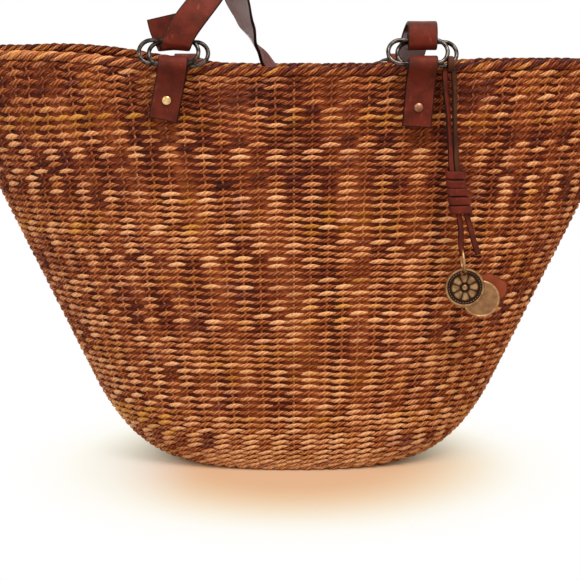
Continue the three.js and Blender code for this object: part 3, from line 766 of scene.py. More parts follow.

# %% [markdown]
# Rows are beaten down hard as they are woven, so no daylight shows through the wall. What one sees between
# the strands is packed fibre deep in shade. Making every strand touch its neighbours would lose the gaps, so
# a thin dark skin follows the wall's middle instead, and the strands pass through it. It reaches a little way
# up into the rim cord, so that none shows there either. The skin's tone is the fibre's colour darkened with
# painted shade, the shade that lies deep between the rows.

# %% Packed fibre
CORE_HALF_T = 0.3 * MM
CORE_INTO_RIM = 2.2 * MM
CORE_ROUND = 240
CORE_DOWN = 70
# The skin's dark tone is fibre colour with painted shade for the deep gaps between rows.
CORE_TONE_AND_SHADE = 0.24
CORE_LAY = 0.02
turn = np.arange(CORE_ROUND) * 2 * math.pi / CORE_ROUND
layers = []
for way in np.linspace(0.3 * ROW_PITCH, profile_way[-1], CORE_DOWN):
    along = Row.wall(way, turn + NUDGE) - Row.wall(way, turn - NUDGE)
    above = Row.wall(way - 0.5 * MM, turn) - Row.wall(way + 0.5 * MM, turn)
    out = unit(np.cross(along, above))
    layers.append((Row.wall(way, turn), out))
layers.insert(0, (Row.wall(0, turn) + np.array([0, 0, CORE_INTO_RIM]), layers[0][1]))
outer = [middle + CORE_HALF_T * out for middle, out in layers]
inner = [middle - CORE_HALF_T * out for middle, out in layers]
sections = np.stack(outer + inner[::-1], 1)
points, faces = loft(sections, True)
round_way = turn * CORE_LAY
bundle = Bundle(1)
tone = np.full(CORE_ROUND, CORE_TONE_AND_SHADE)
bundle.add(points, faces, tone, np.zeros(CORE_ROUND), round_way, sections.shape[1])
bundle.finish("packed_fibre", "woven_body")

# %% [markdown]
# The spokes stand inside the twists and show as short pale ticks between the rows. A spoke runs from the rim
# down through every row that still has room for it, so the later ones stop part of the way down.

# %% Spokes
SPOKE_R = 0.8 * MM
SPOKE_FORWARD = 0.5 * MM
SPOKE_SIDES = 5
SPOKE_TONE = 0.64
SPOKE_HUE = 0.1


def spoke_line(index):
    """Points where a spoke passes through the rows, counted from the middle of the front either way."""
    stops = []
    for row in rows:
        if abs(index) > row.spokes // 2:
            break
        at = (index * TWIST_STEPS) % len(row.twist)
        stops.append((row.centres[at] + SPOKE_FORWARD * row.out[at], row.out[at]))
    return [np.array(line) for line in zip(*stops)]


most = rows[0].spokes // 2
bundle = Bundle(2 * most)
for index in range(1 - most, most + 1):
    centres, out = spoke_line(index)
    if len(centres) < 3:
        continue
    along = unit(np.gradient(centres, axis=0))
    side = unit(np.cross(along, out))
    points, faces = sweep(centres, out, side, circle(SPOKE_R, SPOKE_SIDES), False)
    length = np.concatenate([[0], np.cumsum(np.linalg.norm(np.diff(centres, axis=0), axis=1))])
    tone = np.full(len(length), SPOKE_TONE) + random.normal(0, 0.05)
    bundle.add(points, faces, tone, np.full(len(length), SPOKE_HUE), length, SPOKE_SIDES)
bundle.finish("spokes", "woven_body")

# %% [markdown]
# The border is a cord of four strands wound round each other, as thick as the wall. Their slant, up to the
# right, is what one sees along the rim. The tone falls on the upper side of the cord, except on the left of
# the front, where the cord is paler.

# %% Corded rim
CORD_STRANDS = 4
CORD_PITCH = 25 * MM
CORD_R = 1.75 * MM
CORD_STRAND_R = 1.5 * MM
CORD_SIDES = 8
CORD_STEPS = 16
CORD_TONES = (0.6, 0.38, 0.54, 0.32)
CORD_WOBBLE = 0.5 * MM
CORD_WOBBLE_LENGTH = 11 * MM
CORD_DYE_LENGTH = 32 * MM
CORD_DYE_TONE = 0.4
CREST_TONE = 0.36
PALE_TONE = 0.2
PALE_LEFT = (60 * MM, 120 * MM)
PALE_FRONT = 30 * MM


def rim_line(turn):
    """The middle of the border."""
    x, y = plan(turn)
    half_w, half_d = half_sizes(WALL_TOP)
    inset_w = WALL_T / 2 * math.hypot(1, FLARE_W)
    inset_d = WALL_T / 2 * math.hypot(1, FLARE_D)
    height = WALL_TOP + rim_rise(turn) + GAP + BRAID_R
    return np.stack([(half_w - inset_w) * x, (half_d - inset_d) * y, height], -1)


def corded_rim():
    """The border's strands, each wound round the rim's middle line."""
    dense = np.linspace(-math.pi / 2, 1.5 * math.pi, DENSE)
    length = np.concatenate([[0], np.cumsum(np.linalg.norm(np.diff(rim_line(dense), axis=0), axis=1))])
    waves = round(length[-1] / CORD_PITCH)
    stations = waves * CORD_STEPS
    way = np.arange(stations) * length[-1] / stations
    turn = np.interp(way, length, dense)
    centres = rim_line(turn)
    along = unit(rim_line(turn + NUDGE) - rim_line(turn - NUDGE))
    out = unit(np.cross(along, np.broadcast_to([0, 0, 1], along.shape)))
    up = np.cross(out, along)
    pale = smoothstep(*PALE_LEFT, -centres[:, 0]) * smoothstep(0, PALE_FRONT, -centres[:, 1])
    bundle = Bundle(CORD_STRANDS)
    for strand in range(CORD_STRANDS):
        phase = np.arange(stations) * 2 * math.pi / CORD_STEPS + strand * 2 * math.pi / CORD_STRANDS
        wobble = noise_along(way / CORD_WOBBLE_LENGTH, strand * 4.3, 2.2)
        reach = CORD_R + CORD_WOBBLE * wobble
        line = centres + (reach * np.sin(phase))[:, None] * up + (reach * np.cos(phase))[:, None] * out
        ragged = np.random.default_rng(strand).normal(1, RAGGED, (stations, CORD_SIDES, 1))
        oval = circle(CORD_STRAND_R, CORD_SIDES)[None] * (1 + 0.14 * wobble)[:, None, None] * ragged
        points, faces = sweep(line, out, up, oval, True)
        run = noise_along(way / CORD_DYE_LENGTH, strand * 9.1, 5.5)
        tone = CORD_TONES[strand] + CORD_DYE_TONE * run + PALE_TONE * pale
        # Darker on the upper side of the cord, except on the pale left front.
        tone = tone - CREST_TONE * (1 - pale) * smoothstep(0.2, 0.9, np.sin(phase))
        hue = 0.7 * smoothstep(0.1, 0.5, run) - 0.6 * smoothstep(0.1, 0.5, -run)
        bundle.add(points, faces, np.clip(tone, 0.05, 0.95), hue, way, CORD_SIDES)
    return bundle.finish("corded_rim", "rim_braid")


corded_rim()

# %% [markdown]
# The leather is waxed and red-brown, with pores, cloudy darker patches, and edges painted nearly black. The
# flesh side of the straps is smoother and grey, and its pale grey is partly painted sheen, the glossy
# reflection of the white room. Points of a strip carry edge and under, which say where those are.

# %% Leather finish
EDGE_PAINT = screen(30, 13, 10)
SCUFF = screen(176, 92, 58)
WAX_TINT = screen(255, 206, 176)


def leather_finish(name, face, cloud, edge_paint, underside_and_sheen, gloss):
    """Waxed leather in its face colour and clouds, with painted edges and a smoother underside whose colour
    can carry painted sheen.
    """
    material, wire = new_finish(name)
    place = wire.node("ShaderNodeTexCoord", out="Object")
    clouds = wire.node("ShaderNodeTexNoise", None, {"Vector": place, "Scale": 95, "Detail": 4})
    drawn = place.stretched(1, 1, 0.35)
    scuffs = wire.node("ShaderNodeTexNoise", None, {"Vector": drawn, "Scale": 420, "Detail": 3})
    cells = {"Vector": place, "Scale": 1150}
    pores = wire.node("ShaderNodeTexVoronoi", {"feature": "DISTANCE_TO_EDGE"}, cells)
    edge = attribute(wire, "edge").between(0.35, 0.65)
    under = attribute(wire, "under").between(0.3, 0.7)
    colour = wire.mix(clouds.between(0.35, 0.7), face, cloud)
    colour = wire.mix(scuffs.between(0.6, 0.8) * 0.4, colour, SCUFF)
    # The underside colour goes on here; on the straps its paleness is painted sheen.
    colour = wire.mix(under, colour, underside_and_sheen)
    colour = wire.mix(edge, colour, edge_paint)
    rough = gloss + (scuffs - 0.5) * 0.3 + (clouds - 0.5) * 0.3 - under * 0.12
    grain = pores.between(0, 0.22) * 0.4 + scuffs * 0.35 + clouds * 1.6
    bump = wire.node("ShaderNodeBump", None, {"Height": grain, "Strength": 0.5, "Distance": 0.5 * MM})
    wax = {"Specular_IOR_Level": 0.2, "Specular_Tint": WAX_TINT}
    surface(wire, Base_Color=colour, Roughness=rough, Normal=bump, Coat_Weight=under * 0.6, **wax)
    return material


# The straps' underside is a grey of its own made pale with painted sheen, the reflection of the white room.
strap_leather = leather_finish(
    "waxed_leather", screen(106, 38, 27), screen(76, 28, 20), EDGE_PAINT, screen(182, 169, 171), 0.42
)
lace_leather = leather_finish(
    "lace_leather", screen(78, 44, 28), screen(52, 28, 18), screen(34, 18, 12), screen(62, 38, 28), 0.55
)
tag_leather = leather_finish(
    "tag_leather", screen(146, 70, 44), screen(118, 54, 34), screen(84, 40, 28), screen(120, 66, 46), 0.5
)
print("finishes", *(leather.name for leather in (strap_leather, lace_leather, tag_leather)))

# %% [markdown]
# A strap is a sweep of a flat section with rounded edges. The path goes through a few listed stops, joined
# by a centripetal curve, which makes no loops at tight bends. Each stop also says which way the strap's width
# lies, so that the strap can twist.

# %% Straps
RIPPLE = 0.15 * MM
RIPPLE_LENGTH = 16 * MM
RIPPLE_WIDTH = 9 * MM
FLESH_FADE = 0.04


def strap_section(width, thick, rows_across=5):
    """A flat section with round edges, and for each point how far it is edge and how far underside."""
    round_r = thick * 0.42
    flat = np.linspace(-1, 1, rows_across) * (width / 2 - round_r)
    quarter = np.linspace(0, math.pi / 2, 4)[1:]
    inner = thick / 2 - round_r
    points = [(a, -thick / 2) for a in flat]
    ends = []
    for start, (cx, cy) in ((-math.pi / 2, (flat[-1], -inner)), (0, (flat[-1], inner))):
        ends += [(cx + round_r * math.cos(start + q), cy + round_r * math.sin(start + q)) for q in quarter]
    right = ends[:-1]
    left = [(-a, -b) for a, b in right]
    top = [(a, thick / 2) for a in flat[::-1]]
    section = np.array(points + right + top + left)
    edge = np.array([0] * len(points) + [1] * len(right) + [0] * len(top) + [1] * len(left))
    under = (section[:, 1] > thick * 0.3).astype(float)
    return section, edge, under


def smooth_path(stops, per_span):
    """A centripetal curve through stops, each a point and a direction of width."""
    knots = np.array([stop[0] for stop in stops], float)
    widths = np.array([stop[1] for stop in stops], float)
    ends = [2 * knots[0] - knots[1], *knots, 2 * knots[-1] - knots[-2]]
    path, across = [], []
    for i in range(len(knots) - 1):
        p0, p1, p2, p3 = ends[i : i + 4]
        t0, t1, t2 = (np.linalg.norm(b - a) ** 0.5 for a, b in ((p0, p1), (p1, p2), (p2, p3)))
        leave = ((p1 - p0) / t0 - (p2 - p0) / (t0 + t1) + (p2 - p1) / t1) * t1
        arrive = ((p2 - p1) / t1 - (p3 - p1) / (t1 + t2) + (p3 - p2) / t2) * t1
        steps = np.arange(per_span + (i == len(knots) - 2)) / per_span
        for t in steps:
            hermite = (2 * t**3 - 3 * t**2 + 1, t**3 - 2 * t**2 + t, 3 * t**2 - 2 * t**3, t**3 - t**2)
            path.append(hermite[0] * p1 + hermite[1] * leave + hermite[2] * p2 + hermite[3] * arrive)
            share = smoothstep(0, 1, t)
            across.append(widths[i] * (1 - share) + widths[i + 1] * share)
    return np.array(path), np.array(across)


def strap(name, node, path, across, width, thick, finish, ripple=RIPPLE, flesh=(2, 3)):
    """A leather strip along a path, faintly uneven. The flesh side and its painted sheen show between two
    shares of the way.
    """
    along = unit(np.gradient(path, axis=0))
    across = unit(across - np.sum(across * along, axis=1, keepdims=True) * along)
    up = np.cross(along, across)
    section, edge, under = strap_section(width, thick)
    sections = np.repeat(section[None], len(path), 0)
    way = np.concatenate([[0], np.cumsum(np.linalg.norm(np.diff(path, axis=0), axis=1))])
    for i, w in enumerate(way):
        lift = [noise.noise((w / RIPPLE_LENGTH, a / RIPPLE_WIDTH, 3.3)) for a in section[:, 0]]
        sections[i, :, 1] += ripple * np.array(lift)
    points, faces = sweep(path, across, up, sections, False)
    capped = with_ends(points, faces, len(section))
    share = way / way[-1]
    begun = smoothstep(flesh[0], flesh[0] + FLESH_FADE, share)
    bare = begun * smoothstep(-flesh[1], FLESH_FADE - flesh[1], -share)
    values = {"edge": np.tile(edge, len(path)), "under": (bare[:, None] * under).ravel()}
    values["edge"][: len(section)] = 1
    values["edge"][-len(section) :] = 1
    made = piece(name, node, points, capped, finish, sharp=50, **values)
    print(name, "is", round(way[-1] / MM), "mm long")
    return made


# %% [markdown]
# The handles lie as they do in the photograph: the front one rises from the left rings, folds over, droops
# into the mouth and comes up again to the right rings. The back one hangs behind. At each end the strap
# turns round the ring bars and ends in a short tail. The front one leans at its left end, so there it turns
# under the bar at a slant.

# %% Handles
WIRE_R = 1.4 * MM
STRAP_W = 19 * MM
STRAP_T = 2.4 * MM
BORE_GAP = 0.35 * MM
EYE_R = 2 * WIRE_R + GAP * 2 / 3 + BORE_GAP
EYE_MID = EYE_R + STRAP_T / 2
LEVEL = (1, 0, 0)
TURNED = (-1, 0, 0)
BACK_DROP = 140 * MM
BETWEEN_BACK = 160 * MM
BETWEEN_FRONT = 159 * MM
FRONT_LEFT_SLANT = math.radians(22)
FRONT_LEFT_SLACK = 1.1 * MM


def bight(bar, start, end, width=LEVEL):
    """Stops round a bar, from one angle to another in the plane across it."""
    angles = np.radians(np.linspace(start, end, 6))
    return [(bar + EYE_MID * np.array([0, math.cos(a), math.sin(a)]), width) for a in angles]


def slanted_bight(bar, lean, slack):
    """Stops of a strap that turns under a bar at a slant, from behind to the front, where it stands off."""
    stops = []
    for share in np.linspace(0, 1, 6):
        angle = -math.pi * share
        place = [math.tan(lean) * (-angle - math.pi / 2), math.cos(angle), math.sin(angle)]
        stand_off = np.array([0, -slack * share**2, 0])
        width = (math.cos(lean), -math.sin(lean) * math.sin(angle), math.sin(lean) * math.cos(angle))
        stops.append((bar + EYE_MID * np.array(place) + stand_off, width))
    return stops


def off(bar, x, y, z, width=LEVEL):
    """A stop this many millimetres from a bar."""
    return (bar + np.array([x, y, z]) * MM, width)


front_left_bar = joint_at["front_handle_swing"]
front_right_bar = front_left_bar + np.array([BETWEEN_FRONT, 0, 0])
eye = EYE_MID / MM
front_stops = [
    off(front_left_bar, -8.2, eye - 0.4, 15.5, (0.97, 0, 0.25)),
    off(front_left_bar, -6.4, eye, 8, (0.92, 0, 0.38)),
    *slanted_bight(front_left_bar, FRONT_LEFT_SLANT, FRONT_LEFT_SLACK),
    off(front_left_bar, 5.7, -1.3 - eye, 6, (0.91, 0, -0.41)),
    off(front_left_bar, 10.4, -0.3 - eye, 13, (0.88, 0, -0.47)),
    off(front_left_bar, 17.2, -1.2, 22, (0.86, -0.05, -0.51)),
    off(front_left_bar, 24, 5.5, 31.5, (0.85, -0.15, -0.5)),
    off(front_left_bar, 29.3, 14, 41.5, (0.86, -0.33, -0.38)),
    off(front_left_bar, 32.5, 28, 49, (0.87, -0.47, -0.15)),
    off(front_left_bar, 34.5, 44, 44.5, (0.84, -0.53, 0.1)),
    off(front_left_bar, 38, 57, 29, (0.78, -0.6, 0.2)),
    off(front_left_bar, 44, 66.5, 12, (0.5, -0.86, 0.1)),
    off(front_left_bar, 50, 73, -2, (0.05, -1, 0)),
    off(front_left_bar, 58, 79, -14, (-0.4, -0.92, 0)),
    off(front_left_bar, 73, 86, -29, (-0.3, -0.95, 0)),
    off(front_left_bar, 96, 88, -41, (0, -1, 0)),
    off(front_left_bar, 122, 78, -45, (-0.25, -0.97, 0)),
    off(front_right_bar, -18, 57, -37, (-0.65, -0.76, 0)),
    off(front_right_bar, -8, 37, -22, (-0.92, -0.38, 0)),
    off(front_right_bar, -4, 23, -4, (-0.99, -0.14, 0)),
    off(front_right_bar, -1.5, 14.5, 6.5, TURNED),
    off(front_right_bar, 0, 5.5, 11.5, TURNED),
    off(front_right_bar, 0, -2.2, 9.5, TURNED),
    off(front_right_bar, 0, -eye, 4.4, TURNED),
    *bight(front_right_bar, -180, 0, TURNED),
    off(front_right_bar, 0, eye - 0.6, 4.8, TURNED),
]
path, across = smooth_path(front_stops, 7)
strap("front_strap", "front_handle", path, across, STRAP_W, STRAP_T, strap_leather, flesh=(0.2, 0.9))

back_left_bar = joint_at["back_handle_swing"]
back_right_bar = back_left_bar + np.array([BETWEEN_BACK, 0, 0])
drop = BACK_DROP / MM


def hanging_side(bar, inward):
    """Stops down one side of the hanging handle, turning from face on to edge on."""
    return [
        off(bar, 0, eye, -0.08 * drop),
        off(bar, inward * 0.5, eye + 0.5, -0.22 * drop, (1, 0.05, 0)),
        off(bar, inward * 3, eye + 1.5, -0.4 * drop, (0.8, 0.6, 0)),
        off(bar, inward * 10, eye + 2.5, -0.58 * drop, (0.35, 0.94, 0)),
        off(bar, inward * 25, eye + 3, -0.78 * drop, (0, 1, 0)),
        off(bar, inward * 48, eye + 3, -0.94 * drop, (0, 1, 0)),
    ]


back_stops = [
    off(back_left_bar, 0, 0.6 - eye, -20),
    off(back_left_bar, 0, -eye, -9),
    *bight(back_left_bar, 180, 0),
    *hanging_side(back_left_bar, 1),
    off(back_left_bar, BETWEEN_BACK / MM / 2, eye + 3, -drop, (0, 1, 0)),
    *hanging_side(back_right_bar, -1)[::-1],
    *bight(back_right_bar, 0, 180),
    off(back_right_bar, 0, -eye, -9),
    off(back_right_bar, 0, 0.6 - eye, -20),
]
path, across = smooth_path(back_stops, 7)
strap("back_strap", "back_handle", path, across, STRAP_W, STRAP_T, strap_leather, flesh=(0.1, 0.9))

# %% [markdown]
# A tab is one strip folded over the ring bars, with both leaves riveted to the wall. Its path goes up the
# outer leaf, round the eye and down the inner leaf. The left front tab leans, so its path drifts sideways
# and its width turns with it.

# %% Tabs
TAB_W = 19 * MM
TAB_LEAF_T = 2.2 * MM
TAB_LEANS = {"front_left": 12, "front_right": 4, "back_left": 0, "back_right": 0}
TAB_LENGTHS = {"front_left": 35.5, "front_right": 40, "back_left": 40, "back_right": 40}
RING_JOINTS = {
    "front_left": "front_ring_tilt",
    "front_right": "front_right_ring_tilt",
    "back_left": "back_ring_lift",
    "back_right": "back_right_ring_lift",
}
WALL_SLOPE = math.atan(FLARE_D)
LEAVES_PART = -13 * MM
INTO_EYE = (1.4 * MM, -8.6 * MM)
INNER_LEAF_TOP = -6 * MM
LEAN_BUILDS_UP = 14 * MM


def wall_frame(corner):
    """A corner's way out of the wall, way up along it, and which side it is on."""
    side = -1 if corner.startswith("front") else 1
    out = np.array([0, side * math.cos(WALL_SLOPE), -math.sin(WALL_SLOPE)])
    up = np.array([0, side * math.sin(WALL_SLOPE), math.cos(WALL_SLOPE)])
    return out, up, side


def tab(corner):
    """A strip folded over the ring bars of one corner."""
    out, up, side = wall_frame(corner)
    axis = joint_at[RING_JOINTS[corner]]
    loop = EYE_R + TAB_LEAF_T / 2
    back = -loop
    front = back + TAB_LEAF_T
    lean = math.radians(TAB_LEANS[corner])
    bottom = -TAB_LENGTHS[corner] * MM
    outer = [(front, v) for v in np.linspace(bottom, LEAVES_PART, 5)]
    outer.append((front + INTO_EYE[0], INTO_EYE[1]))
    round_eye = [(loop * math.cos(a), loop * math.sin(a)) for a in np.radians(np.linspace(-40, 180, 10))]
    inner = [(back, v) for v in np.linspace(INNER_LEAF_TOP, bottom, 6)]
    stops = []
    for u, v in outer + round_eye + inner:
        low = min(v, 0)
        turn = lean * smoothstep(0, LEAN_BUILDS_UP, -low)
        width = np.array([-side * math.cos(turn), 0, side * math.sin(turn)])
        drift = np.array([low * math.tan(lean), 0, 0])
        stops.append((axis + u * out + v * up + drift, width))
    path, across = smooth_path(stops, 5)
    return strap(f"{corner}_folded_tab", f"{corner}_tab", path, across, TAB_W, TAB_LEAF_T, strap_leather)


for corner in RING_JOINTS:
    tab(corner)

# %% [markdown]
# The metal is old: dark plating on the rings, worn brass on the rivets and the discs. Plain metal looks like
# plastic without change in its polish, so noise moves both the colour and the roughness, and hollows of the
# discs, marked on their points, stay dark.


# %% Metal finish
def metal_finish(name, bright, dull, polish, patina=None):
    """Worn metal between a bright and a dull colour. Hollows take the patina."""
    material, wire = new_finish(name)
    place = wire.node("ShaderNodeTexCoord", out="Object")
    wear = wire.node("ShaderNodeTexNoise", None, {"Vector": place, "Scale": 260, "Detail": 4})
    drawn = place.stretched(1, 1, 6)
    scratch = wire.node("ShaderNodeTexNoise", None, {"Vector": drawn, "Scale": 700, "Detail": 2})
    colour = wire.mix(wear.between(0.35, 0.65), bright, dull)
    rough = polish + (wear - 0.5) * 0.3 + (scratch - 0.5) * 0.15
    if patina:
        hollow = attribute(wire, "hollow").between(0.1, 0.9)
        colour = wire.mix(hollow, colour, patina)
        rough = rough + hollow * 0.2
    bump = wire.node("ShaderNodeBump", None, {"Height": scratch, "Strength": 0.12, "Distance": 0.2 * MM})
    surface(wire, Base_Color=colour, Roughness=rough, Metallic=1, Normal=bump)
    return material


ring_metal = metal_finish("dark_plating", screen(98, 88, 80), screen(40, 33, 29), 0.25)
bright_brass = metal_finish("bright_brass", screen(236, 202, 142), screen(196, 154, 96), 0.26)
dull_brass = metal_finish("dull_brass", screen(178, 124, 94), screen(124, 76, 58), 0.42)
disc_brass = metal_finish("old_brass", screen(184, 142, 96), screen(136, 98, 62), 0.34, screen(48, 32, 25))
pale_brass = metal_finish("pale_brass", screen(190, 144, 98), screen(158, 112, 74), 0.4, screen(120, 80, 54))
for metal in (ring_metal, bright_brass, dull_brass, disc_brass, pale_brass):
    print("metal", metal.name)

# %% [markdown]
# Each tab holds two rings of round wire, side by side and slid a little apart. A ring is two straight bars
# and two half turns, all in one plane, so its section needs only the way out of the loop and the plane's
# normal.

# %% Rings
RING_STRAIGHT = 22 * MM
RING_BEND_R = 8 * MM
RING_SHIFT = 3 * MM
RING_STACK = WIRE_R + GAP / 3
WIRE_SIDES = 12
FRONT_RING_LIFT = 66
BACK_RING_LIFT = -40


def wire_loop(name, node, centres, normal, radius, finish):
    """A closed loop of round wire in the plane across a normal."""
    along = unit(np.roll(centres, -1, 0) - np.roll(centres, 1, 0))
    up = np.broadcast_to(normal, along.shape)
    points, faces = sweep(centres, unit(np.cross(along, up)), up, circle(radius, WIRE_SIDES), True)
    return piece(name, node, points, facing_out(points, faces), finish)


def ring(corner, which, stack, shift):
    """One of a tab's two rings, moved across its plane and sideways."""
    side = wall_frame(corner)[2]
    lift = math.radians(FRONT_RING_LIFT if side < 0 else 180 - BACK_RING_LIFT)
    reach = np.array([0, -side * math.cos(lift), math.sin(lift)])
    normal = np.cross([1, 0, 0], reach)
    middle = joint_at[RING_JOINTS[corner]] + RING_BEND_R * reach + stack * RING_STACK * normal
    middle = middle + np.array([shift * RING_SHIFT, 0, 0])
    centres = []
    for end in (1, -1):
        for angle in np.linspace(-math.pi / 2, math.pi / 2, 17):
            x = end * (RING_STRAIGHT / 2 + RING_BEND_R * math.cos(angle))
            centres.append(middle + x * np.array([1, 0, 0]) + end * RING_BEND_R * math.sin(angle) * reach)
    name = f"{corner}_{which}_wire"
    return wire_loop(name, f"{corner}_{which}_ring", np.array(centres), normal, WIRE_R, ring_metal)


for corner in RING_JOINTS:
    outward = -1 if corner.endswith("left") else 1
    first = -1 if corner == "front_right" else 1
    ring(corner, "outer", first, outward)
    ring(corner, "inner", -first, -outward)
print("rings made for", ", ".join(RING_JOINTS))

# %% [markdown]
# Rivets and their burrs are turned pieces: an outline spun round an axis. A spin leaves doubled points on
# the axis, which are merged. The patch behind each rivet is a square of leather with its corners cut round.


# %% Rivets, burrs and patches
RIVET_HEAD_R = 3.1 * MM
RIVET_HEAD_H = 1.7 * MM
RIVET_SHANK_R = 1.5 * MM
BURR_R = 3.5 * MM
BURR_T = 1.5 * MM
PATCH_W = 18 * MM
PATCH_T = 1.8 * MM
PATCH_CORNER_R = 2.5 * MM
LEATHER_SOFT = 0.4 * MM
METAL_SOFT = 0.35 * MM
TURNED_SIDES = 32


def turned(name, node, outline, centre, axis, finish):
    """An outline of radius and height, spun round an axis through a centre."""
    first = unit(np.cross(axis, [1.0, 0, 0]) if abs(axis[0]) < 0.9 else np.cross(axis, [0, 1.0, 0]))
    second = np.cross(axis, first)
    angle = np.arange(TURNED_SIDES) * 2 * math.pi / TURNED_SIDES
    across = np.cos(angle)[:, None] * first + np.sin(angle)[:, None] * second
    centres = np.broadcast_to(centre, across.shape)
    points, faces = sweep(centres, across, np.broadcast_to(axis, across.shape), outline, True)
    made = piece(name, node, points, facing_out(points, faces), finish, sharp=40)
    tidy(made)
    return made


def tidy(made, sharp=40):
    """Merges doubled points, drops faces with no area and turns the rest outwards."""
    work = bmesh.new()
    work.from_mesh(made.data)
    bmesh.ops.remove_doubles(work, verts=work.verts, dist=1e-6)
    bmesh.ops.dissolve_degenerate(work, edges=work.edges, dist=1e-7)
    bmesh.ops.recalc_face_normals(work, faces=work.faces)
    work.to_mesh(made.data)
    work.free()
    made.data.shade_smooth()
    made.data.set_sharp_from_angle(angle=math.radians(sharp))


def box_middle(node):
    """The middle and the size of a node's box."""
    low, high = (np.array(corner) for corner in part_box(node))
    return (low + high) / 2, high - low


def rivet(corner):
    """A domed head on a shank that goes through tab, wall, patch and burr."""
    out = wall_frame(corner)[0]
    middle, size = box_middle(f"{corner}_rivet")
    half = size[1] / 2
    head = half - RIVET_HEAD_H
    angles = np.radians(np.linspace(12, 90, 9))
    dome = [(RIVET_HEAD_R * math.cos(a), head + RIVET_HEAD_H * math.sin(a)) for a in angles]
    dome[-1] = (0, half)
    shank = [(0, -half), (RIVET_SHANK_R * 0.8, -half)]
    shank += [(RIVET_SHANK_R, -half + 0.3 * MM), (RIVET_SHANK_R, head)]
    rim = [(RIVET_HEAD_R * 0.97, head), (RIVET_HEAD_R, head + 0.15 * MM)]
    finish = bright_brass if corner == "front_left" else dull_brass
    turned(f"{corner}_domed_rivet", f"{corner}_rivet", shank + rim + dome, middle, out, finish)


def burr(corner):
    """The washer that the rivet is hammered over."""
    out = wall_frame(corner)[0]
    middle = box_middle(f"{corner}_burr")[0]
    half, hole, soft = BURR_T / 2, RIVET_SHANK_R + BORE_GAP, METAL_SOFT
    outline = [
        (hole, -half + soft),
        (hole + soft, -half),
        (BURR_R - soft, -half),
        (BURR_R, -half + soft),
        (BURR_R, half),
        (hole, half),
    ]
    turned(f"{corner}_washer", f"{corner}_burr", outline, middle, out, dull_brass)


def plate(name, node, outline, holes, thick, soft, finish, matrix, **values):
    """A flat piece drawn in x and z, with its holes, its thickness along y, and soft edges."""
    work = bmesh.new()
    edges = []
    for loop in (outline, *holes):
        verts = [work.verts.new((x, -thick / 2, z)) for x, z in loop]
        edges += [work.edges.new((verts[i], verts[(i + 1) % len(verts)])) for i in range(len(verts))]
    bmesh.ops.triangle_fill(work, edges=edges, use_beauty=True)
    inside = [edge for edge in work.edges if not edge.is_boundary]
    bmesh.ops.dissolve_limit(work, angle_limit=0.01, verts=[], edges=inside)
    grown = bmesh.ops.extrude_face_region(work, geom=work.faces[:])
    lifted = [item for item in grown["geom"] if isinstance(item, bmesh.types.BMVert)]
    bmesh.ops.translate(work, verts=lifted, vec=(0, thick, 0))
    bmesh.ops.recalc_face_normals(work, faces=work.faces)
    level = [edge for edge in work.edges if abs(edge.verts[0].co.y - edge.verts[1].co.y) < thick / 2]
    corners = [edge for edge in level if edge.calc_face_angle(0) > 1.2]
    bmesh.ops.bevel(work, geom=corners, offset=soft, segments=3, profile=0.5, affect="EDGES")
    bmesh.ops.triangulate(work, faces=[face for face in work.faces if len(face.verts) > 4])
    work.transform(matrix)
    points = np.array([vert.co for vert in work.verts])
    faces = [[vert.index for vert in face.verts] for face in work.faces]
    inner = matrix.inverted()
    depth = np.array([abs((inner @ vert.co).y) for vert in work.verts])
    work.free()
    values.setdefault("edge", (depth < thick / 2 - 1e-6).astype(float))
    values.setdefault("under", np.zeros(len(points)))
    return piece(name, node, points, faces, finish, sharp=45, **values)


def rounded_square(half, corner_r):
    """A square's outline with round corners."""
    outline = []
    for quarter in range(4):
        a0 = quarter * math.pi / 2
        cx = math.copysign(half - corner_r, math.cos(a0 + 0.1))
        cz = math.copysign(half - corner_r, math.sin(a0 + 0.1))
        for a in np.linspace(a0, a0 + math.pi / 2, 6):
            outline.append((cx + corner_r * math.cos(a), cz + corner_r * math.sin(a)))
    return outline


def round_hole(radius, sides=24):
    """A round outline about the origin."""
    angles = np.arange(sides) * 2 * math.pi / sides
    return [(radius * math.cos(a), radius * math.sin(a)) for a in angles]


def patch(corner):
    """The square of leather inside the wall."""
    side = wall_frame(corner)[2]
    middle = box_middle(f"{corner}_patch")[0]
    lean = Matrix.Rotation(-side * WALL_SLOPE, 4, "X")
    matrix = Matrix.Translation(middle) @ lean
    holes = [round_hole(RIVET_SHANK_R + BORE_GAP)]
    outline = rounded_square(PATCH_W / 2, PATCH_CORNER_R)
    name, node = f"{corner}_backing", f"{corner}_patch"
    plate(name, node, outline, holes, PATCH_T, LEATHER_SOFT, strap_leather, matrix)


for corner in RING_JOINTS:
    rivet(corner)
    burr(corner)
    patch(corner)
print("rivets, washers and backings made")

# %% [markdown]
# The charm hangs from the right front ring. A loop of lace goes round the ring, two strips hang from it and
# are bound by a band wound round them, and below it a small link carries two discs and a leather tag. They
# are drawn in the charm's own frame, with the hang point at its origin, and then slanted into place.

